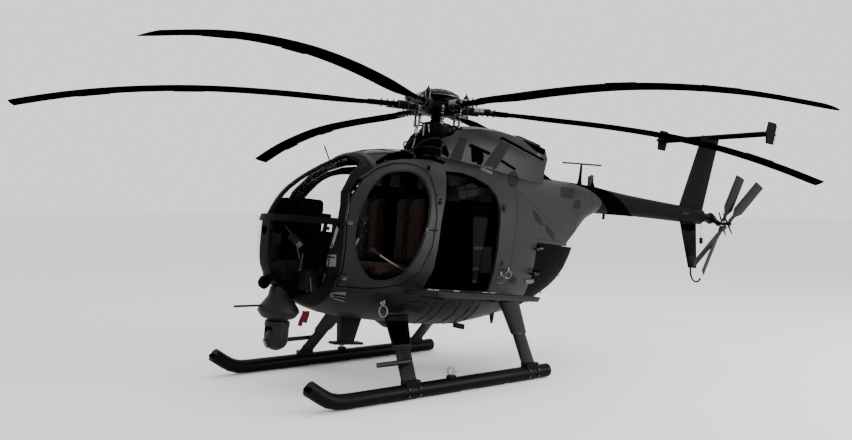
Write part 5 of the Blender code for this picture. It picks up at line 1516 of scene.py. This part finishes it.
def tail_rotor():
    """Tail rotor redrawn with round roots, and its links and nut."""

    def shaft(y):
        """A place on the tail rotor's axis."""
        return TAIL_HUB + Vector((0, y, 0))

    rotor = Solids()
    rotor.rod(level(*shaft(-0.080)), level(*shaft(0.075)), 0.022, 20)
    for angle, offset, lean in TAIL_PAIRS:
        place = Matrix.Rotation(-math.radians(angle), 3, "Y") @ Matrix.Rotation(-math.radians(lean), 3, "X")
        for end in (1, -1):
            rings = []
            for reach, chord, thick, pitch in TAIL_BLADE:
                spin = Matrix.Rotation(end * pitch * (1.0 if end > 0 else TAIL_LOWER_PITCH), 3, "Z")
                ring = []
                for t in around(12):
                    local = spin @ Vector((0.5 * chord * math.cos(t), 0.5 * thick * math.sin(t), end * reach))
                    ring.append(level(*(shaft(offset) + place @ local)))
                rings.append(ring)
            rotor.loft(rings)
    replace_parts(rotor.piece("tail_rotor_skin", TAIL_ROTOR, "dark_paint", "tail_rotor", BLADE_SHARP), "tail_rotor_hub")
    fittings = Solids()
    for angle, offset, _ in TAIL_PAIRS:
        lean = math.radians(angle)
        along = Vector((math.sin(lean), 0, math.cos(lean)))
        wide = Vector((along.z, 0, -along.x))
        for end in (1, -1):
            base = shaft(offset)
            fittings.tube([level(*(base + along * end * r)) for r in (0.03, 0.10, 0.17)], [0.011, 0.010, 0.008], 10)
            link = base + along * end * 0.10 + wide * 0.014
            fittings.rod(level(*link), level(*(shaft(0.070) + along * end * 0.02)), 0.0035, 8)
    fittings.lathe(level(*shaft(0.045)), Vector((0, 1, 0)),
                   ((0, 0.026), (0.012, 0.030), (0.022, 0.030), (0.030, 0.018), (0.045, 0.012)), 16)
    fittings.piece("tail_rotor_fittings", HUB_METAL, body="tail_rotor")


def tail_details():
    """Gearbox rings, a black band across the boom that is a painted shadow of a rotor blade, boom patches, static wicks
    and fin rivets.
    """
    gear = Solids()
    gear.ring(level(BOOM_END + 0.002, 0, GEARBOX_Z), FORE, 0.098, 0.006, 28)
    gear.ring(level(*BALL_CENTRE), FORE, 0.0745, 0.003, 28)
    gear.ring(level(-4.752, 0.062, 1.955), turn(0.2, 0.9, -0.25), 0.048, 0.004, 20)
    for lean in around(10):
        gear.dome(level(BOOM_END - 0.0005, 0.088 * math.cos(lean), GEARBOX_Z + 0.088 * math.sin(lean)), AFT, 0.005)
    gear.rod(level(-4.50, 0, GEARBOX_Z), level(-4.70, 0, GEARBOX_Z), 0.058, 24)
    gear.piece("gearbox_rings", HUB_METAL)
    # Black band across the boom on both sides: a painted shadow of a rotor blade
    band = Solids()
    steps, across = 22, 12
    for side in (1, -1):
        hits = []
        for k in range(steps + 1):
            share = k / steps
            t = math.pi * (0.5 - share)
            front = -2.64 + 0.86 * (1 - share) ** 1.7
            rear = -2.41 - 0.75 * share ** 0.95
            way = turn(0, side * math.cos(t), math.sin(t))
            for j in range(across + 1):
                x = front + (rear - front) * j / across
                hits.append(cast((level(x, 0, 1.966) + way * 0.8, -way), TAIL))
        w, n = across + 1, len(hits)
        faces = []
        for a in (i * w + j for i in range(steps) for j in range(across)):
            faces += [(a, a + 1, a + w + 1, a + w), (a + n, a + w + n, a + w + 1 + n, a + 1 + n)]
        faces += [(a, a + w, a + w + n, a + n) for a in (i * w + j for i in range(steps) for j in (0, across))]
        faces += [(a, a + n, a + 1 + n, a + 1) for a in (i * w + j for i in (0, steps) for j in range(across))]
        band.add([p + normal * 0.0032 for p, normal in hits] + [p - normal * 0.002 for p, normal in hits], faces)
    band.piece("boom_blade_shadow", BLACK)
    plates("boom_patches", PATCH, ("tail_boom",), (
        (((682.0, 211.6), (689.0, 212.2), (688.4, 215.2), (681.6, 214.4)), 0.003, 2.0),
        (((688.2, 256.2), (694.2, 256.2), (694.0, 260.4), (688.8, 260.4)), 0.003, 1.5, ("ventral_fin",)),
    ))
    plates("ventral_fin_root", BLACK, ("ventral_fin",), (
        (((680.5, 219), (697, 220), (696, 229.5), (688, 231.5), (682, 229)), 0.003, 2.0),
    ))
    wicks = Solids()
    low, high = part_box("stabiliser")
    for side in (1, -1):
        for rise in (0.03, 0.10):
            start = Vector((low.x + 0.03, side * (high.y - 0.012), high.z - 0.10 - rise))
            wicks.rod(start, start + Vector((-0.012, 0, -0.055)), 0.0022, 6)
        start = Vector((low.x + 0.09, side * 0.42, (low.z + high.z) / 2))
        wicks.rod(start, start + Vector((-0.03, 0, -0.05)), 0.0022, 6)
    wicks.piece("static_wicks", RUBBER)
    fins = Solids()
    for node, line in (
        ("upper_fin", [(657, 210), (676, 140)]), ("upper_fin", [(691, 186), (701, 150)]),
        ("upper_fin", [(674, 195), (692, 198)]), ("ventral_fin", [(686, 232), (689, 258)]),
    ):
        fins.rivets(line, seen, (node,), 0.035, 0.003)
    fins.both().piece("fin_rivets", PATCH)


# Landing gear and turret
SKID_Y = 0.932
SKID_Z = 0.066
STRUTS_X = (1.00, -0.42)
TURRET_X = 1.60


def gear_details():
    """Collars, wear plates, tip openings, tow shackles, shoe bolts and step grips of the landing gear."""
    collars = Solids()
    for x in [x + along for x in STRUTS_X for along in (-0.115, 0.115)] + [1.62, 1.30, 0.12, -0.20, -0.60]:
        collars.ring(ground(x, SKID_Y, SKID_Z), (1, 0, 0), 0.0630, 0.0030, 24)
    collars.both().piece("skid_collars", HUB_METAL)
    wear = Solids()
    for x in (-0.30, 0.10, 0.62, 1.12):
        wear.block(ground(x, SKID_Y, 0.007), ((1, 0, 0), (0, 0, 1), (0, 1, 0)), (0.16, 0.006, 0.032))
    wear.both().piece("skid_wear_plates", DULL)
    hollow = Solids()
    hollow.lathe(ground(1.995, SKID_Y, 0.219), (0.35, 0, 0.94), ((-0.01, 0.050), (0.0035, 0.050), (0.0045, 0.046)), 24)
    hollow.both().piece("skid_tip_openings", BLACK, "dark_paint")
    ring = Solids()
    ring.ring(ground(0.55, SKID_Y, 0.192), (0.25, 1, 0), 0.033, 0.011, 24, 8)
    ring.both().piece("tow_shackles", POLISHED)
    bolts = Solids()
    for x in STRUTS_X:
        for along in (-0.06, 0.06):
            for lift in (0.035, 0.098):
                bolts.lathe(ground(x + along, SKID_Y + 0.062, lift), (0, 1, 0),
                            ((-0.006, 0.011), (0.010, 0.011), (0.012, 0.007)), 6)
    bolts.both().piece("strut_shoe_bolts", DULL)
    steps = Solids()
    peg_y, peg_z = 0.840, 0.305
    steps.lathe(ground(1.2815, peg_y, peg_z), (1, 0, 0), ((-0.004, 0.024), (0.0, 0.025), (0.002, 0.020)), 16)
    for k in range(7):
        steps.ring(ground(1.09 + 0.028 * k, peg_y, peg_z), (1, 0, 0), 0.0222, 0.0018, 16)
    steps.both().piece("step_grips", DULL)


def turret_details():
    """Windows, rims and mount of the turret, the nose lamp's globe, the red streamer and the column's hole."""
    glassy, rims, frames, window = Solids(), Solids(), Solids(), Solids()
    place, normal = cast(seen(265.6, 343.4), ("turret_ball",))
    glassy.lathe(place, normal, ((-0.012, 0.040), (0.003, 0.043), (0.005, 0.036)), 28)
    frames.ring(place + normal * 0.003, normal, 0.043, 0.003, 28)
    place, normal = cast(seen(269.4, 328.6), ("turret_yoke",))
    window.lathe(place, normal, ((-0.012, 0.030), (0.003, 0.032), (0.005, 0.027)), 24)
    rims.ring(place + normal * 0.003, normal, 0.032, 0.003, 24)
    glassy.piece("turret_lens", LENS, body="turret_tilt")
    frames.piece("turret_lens_rim", HUB_METAL, body="turret_tilt")
    window.piece("turret_upper_window", LENS, body="turret_pan")
    for z, r in ((0.470, 0.1085), (0.435, 0.1125)):
        rims.ring(level(TURRET_X, 0, z), MAST, r, 0.0016, 40)
    for lean in around(16):
        way = turn(math.cos(lean), math.sin(lean), 0)
        rims.dome(level(TURRET_X, 0, 0.450) + way * 0.1115, way, 0.003)
    rims.piece("turret_seams", HUB_METAL, body="turret_pan")
    mount = Solids()
    mount.ring(level(TURRET_X, 0, 0.556), MAST, 0.186, 0.0045, 48)
    for lean in around(24):
        spot = level(TURRET_X + 0.183 * math.cos(lean), 0.183 * math.sin(lean), 0.572)
        mount.dome(spot, turn(math.cos(lean) * 0.9, math.sin(lean) * 0.9, 0.5), 0.0035)
    mount.lathe(level(TURRET_X, 0, 0.552), DOWN, ((0, 0.184), (0.022, 0.172), (0.050, 0.150), (0.0625, 0.124)), 40)
    mount.piece("turret_mount_rim", HULL)
    globe = Solids()
    globe.ball(level(1.772, 0.012, 0.803), 0.054, steps=24, rings=14)
    globe.piece("nose_lamp_globe", HATCH_SHADED_GREY, "dark_paint")
    lamp = Solids()
    lamp.ring(level(1.770, 0, 0.805), turn(1, 0.3, -0.1), 0.055, 0.006, 28)
    lamp.piece("nose_lamp_rim", HUB_METAL)
    ribbon = Solids()
    trace = [(meet(px, py, level(1.42, 0.0, 0.56), turn(1, 0.5, 0)), -AHEAD)
             for px, py in ((305.5, 311.0), (304.5, 315.0), (302.6, 319.0), (301.0, 323.0), (300.4, 326.0))]
    ribbon.strip([(p - RIGHT * 0.006, n) for p, n in trace], 0.040, 0.0015, 0.001)
    ribbon.strip([(p + RIGHT * (0.022 + 0.004 * k) + AHEAD * 0.006, n) for k, (p, n) in enumerate(trace[:-1])],
                 0.034, 0.0015, 0.001)
    ribbon.piece("red_streamer", RED_TAPE)
    column = Solids()
    column.cover(oval(264.4, 229.8, 2.5, 4.4, 16, 0.12), ("canopy_frame",), 0.0015, 1.5)
    column.piece("column_hole", BLACK)


def side_fittings():
    """Black roof strips, hanging rings with their plates, a painted shadow on the front strut with pale strut bands,
    and two antenna parts of the boom.
    """
    plates("roof_black_strips", BLACK, ("cabin_shell", "canopy_frame", "roof_window_port", "mast_fairing"), (
        (((375.5, 161.5), (388, 154), (404, 150.4), (430, 152.4), (438, 159.6), (445.5, 161.5), (443.5, 164.2),
          (430, 159.8), (408, 158.2), (390, 160.2), (377, 164.4)), 0.004, 2.5),
        (((349.4, 197), (352, 187), (358, 179.4), (362, 177.6), (358, 187), (352.4, 197.6)), 0.003, 1.5,
         ("windscreen_port", "canopy_frame", "front_door_port", "cabin_shell")),
    ))
    plates("hanging_ring_plates", PATCH, SHELL, (
        (((373.6, 294.2), (391, 294.2), (389, 301.4), (375.4, 301.4)), 0.003, 1.5),
    ))
    place, normal = cast(seen(382.4, 301.6), SHELL)
    centre = place + normal * 0.030 - UP * 0.062
    hanging = Solids()
    loop = [centre + RIGHT * 0.036 * math.cos(t) + UP * 0.052 * math.sin(t)
            for t in around(28)]
    hanging.tube(loop, 0.0065, 8, True)
    hanging.tube([place - normal * 0.01, place + normal * 0.026, centre + UP * 0.044], 0.008, 8)
    hanging.block(place + normal * 0.004, (RIGHT, UP, normal), (0.022, 0.018, 0.008))
    hanging.both().piece("hanging_rings", BRIGHT)
    front, rear = ("strut_front_port",), ("strut_rear_port",)
    # Black over the top of the front strut: painted shadow of the bench and hull above it
    plates("front_strut_painted_shadow", BLACK, front, (
        (((386.5, 321), (411.5, 321), (411.6, 344.0), (393.6, 345.6)), 0.004, 2.0),
    ))
    # Pale bands round the struts; the upper front one runs along the lower edge of the painted shadow
    plates("strut_pale_bands", HULL_GREY_LIT, front, (
        (((394.0, 345.6), (411.8, 344.0), (412.0, 346.0), (394.4, 347.8)), 0.007, 1.0),
        (((399.6, 371.8), (415.0, 371.0), (415.2, 372.4), (399.8, 373.4)), 0.004, 1.0),
        (((510.2, 333.0), (531.0, 331.8), (531.2, 333.4), (510.6, 334.8)), 0.005, 1.0, rear),
        (((519.8, 360.6), (537.0, 360.0), (537.2, 361.6), (520.0, 362.4)), 0.004, 1.0, rear),
    ))
    post = Solids()
    post.tube([level(-2.16, 0, 2.135), level(-2.16, 0, 2.20), level(-2.17, 0, 2.37)], [0.030, 0.016, 0.012], 12)
    post.piece("antenna_post_cover", BLACK, "dark_paint")
    blade = Solids()
    blade.block(level(-2.33, 0.0, 2.185), AXES, (0.026, 0.007, 0.062), 0.2)
    blade.piece("boom_blade_antenna", HULL_DARK)


def add_bonding_wire():
    """Bonding wire below the boom's end, with its tag."""
    wire = Solids()
    start = level(-4.49, 0.045, 1.883)
    points = [start, start + Vector((-0.012, 0.01, -0.07)), start + Vector((0.004, 0.01, -0.14)),
              start + Vector((-0.012, 0.006, -0.20))]
    wire.tube(smooth(points), 0.0028, 6)
    end = points[-1]
    wire.block(end + Vector((0, 0, -0.035)), ((0, 0, 1), (1, 0, 0), (0, 1, 0)), (0.040, 0.022, 0.016))
    wire.piece("boom_bonding_wire", RUBBER)


cowl_details()
mast_details()
fuselage_details()
belly_details()
door_details()
add_seats()
cabin_details()
rear_cabin_details()
bench_details()
rotor_details()
tail_rotor()
tail_details()
gear_details()
turret_details()
side_fittings()
add_bonding_wire()


# Floor and light
def add_stage():
    """White floor and surroundings, a key light to port and a softer one above."""
    floor_z = CAD_BOX[0].z - 0.001
    bpy.ops.mesh.primitive_plane_add(size=240, location=(0, 0, floor_z))
    floor = bpy.context.object
    floor.name = "studio_floor"
    n = Nodes("floor")
    n.colour(n.mix(n.noise(0.7, 3.0), (0.86, 0.86, 0.855), (0.90, 0.90, 0.895)))
    n.rough(n.ramp(n.noise(4.0), 0.3, 0.7, 0.75, 0.9))
    n.bump(n.noise(60.0, 3.0), 0.05)
    floor.data.materials.append(n.material)
    world = bpy.data.worlds.new("studio")
    world.use_nodes = True
    world.node_tree.nodes["Background"].inputs["Color"].default_value = (1.0, 1.0, 1.0, 1.0)
    world.node_tree.nodes["Background"].inputs["Strength"].default_value = 1.3
    bpy.context.scene.world = world
    lamps = (
        ("key", (-5.5, 9.0, 4.0), (0.0, 0.0, 1.4), 5.0, 1100.0),
        ("top", (-1.0, 0.0, 9.0), (0.0, 0.0, 1.0), 8.0, 350.0),
    )
    for name, place, aim, size, power in lamps:
        data = bpy.data.lights.new(name, "AREA")
        data.shape = "SQUARE"
        data.size = size
        data.energy = power
        lamp = placed(name, data)
        lamp.location = place
        lamp.rotation_euler = (Vector(aim) - Vector(place)).to_track_quat("-Z", "Y").to_euler()


add_stage()
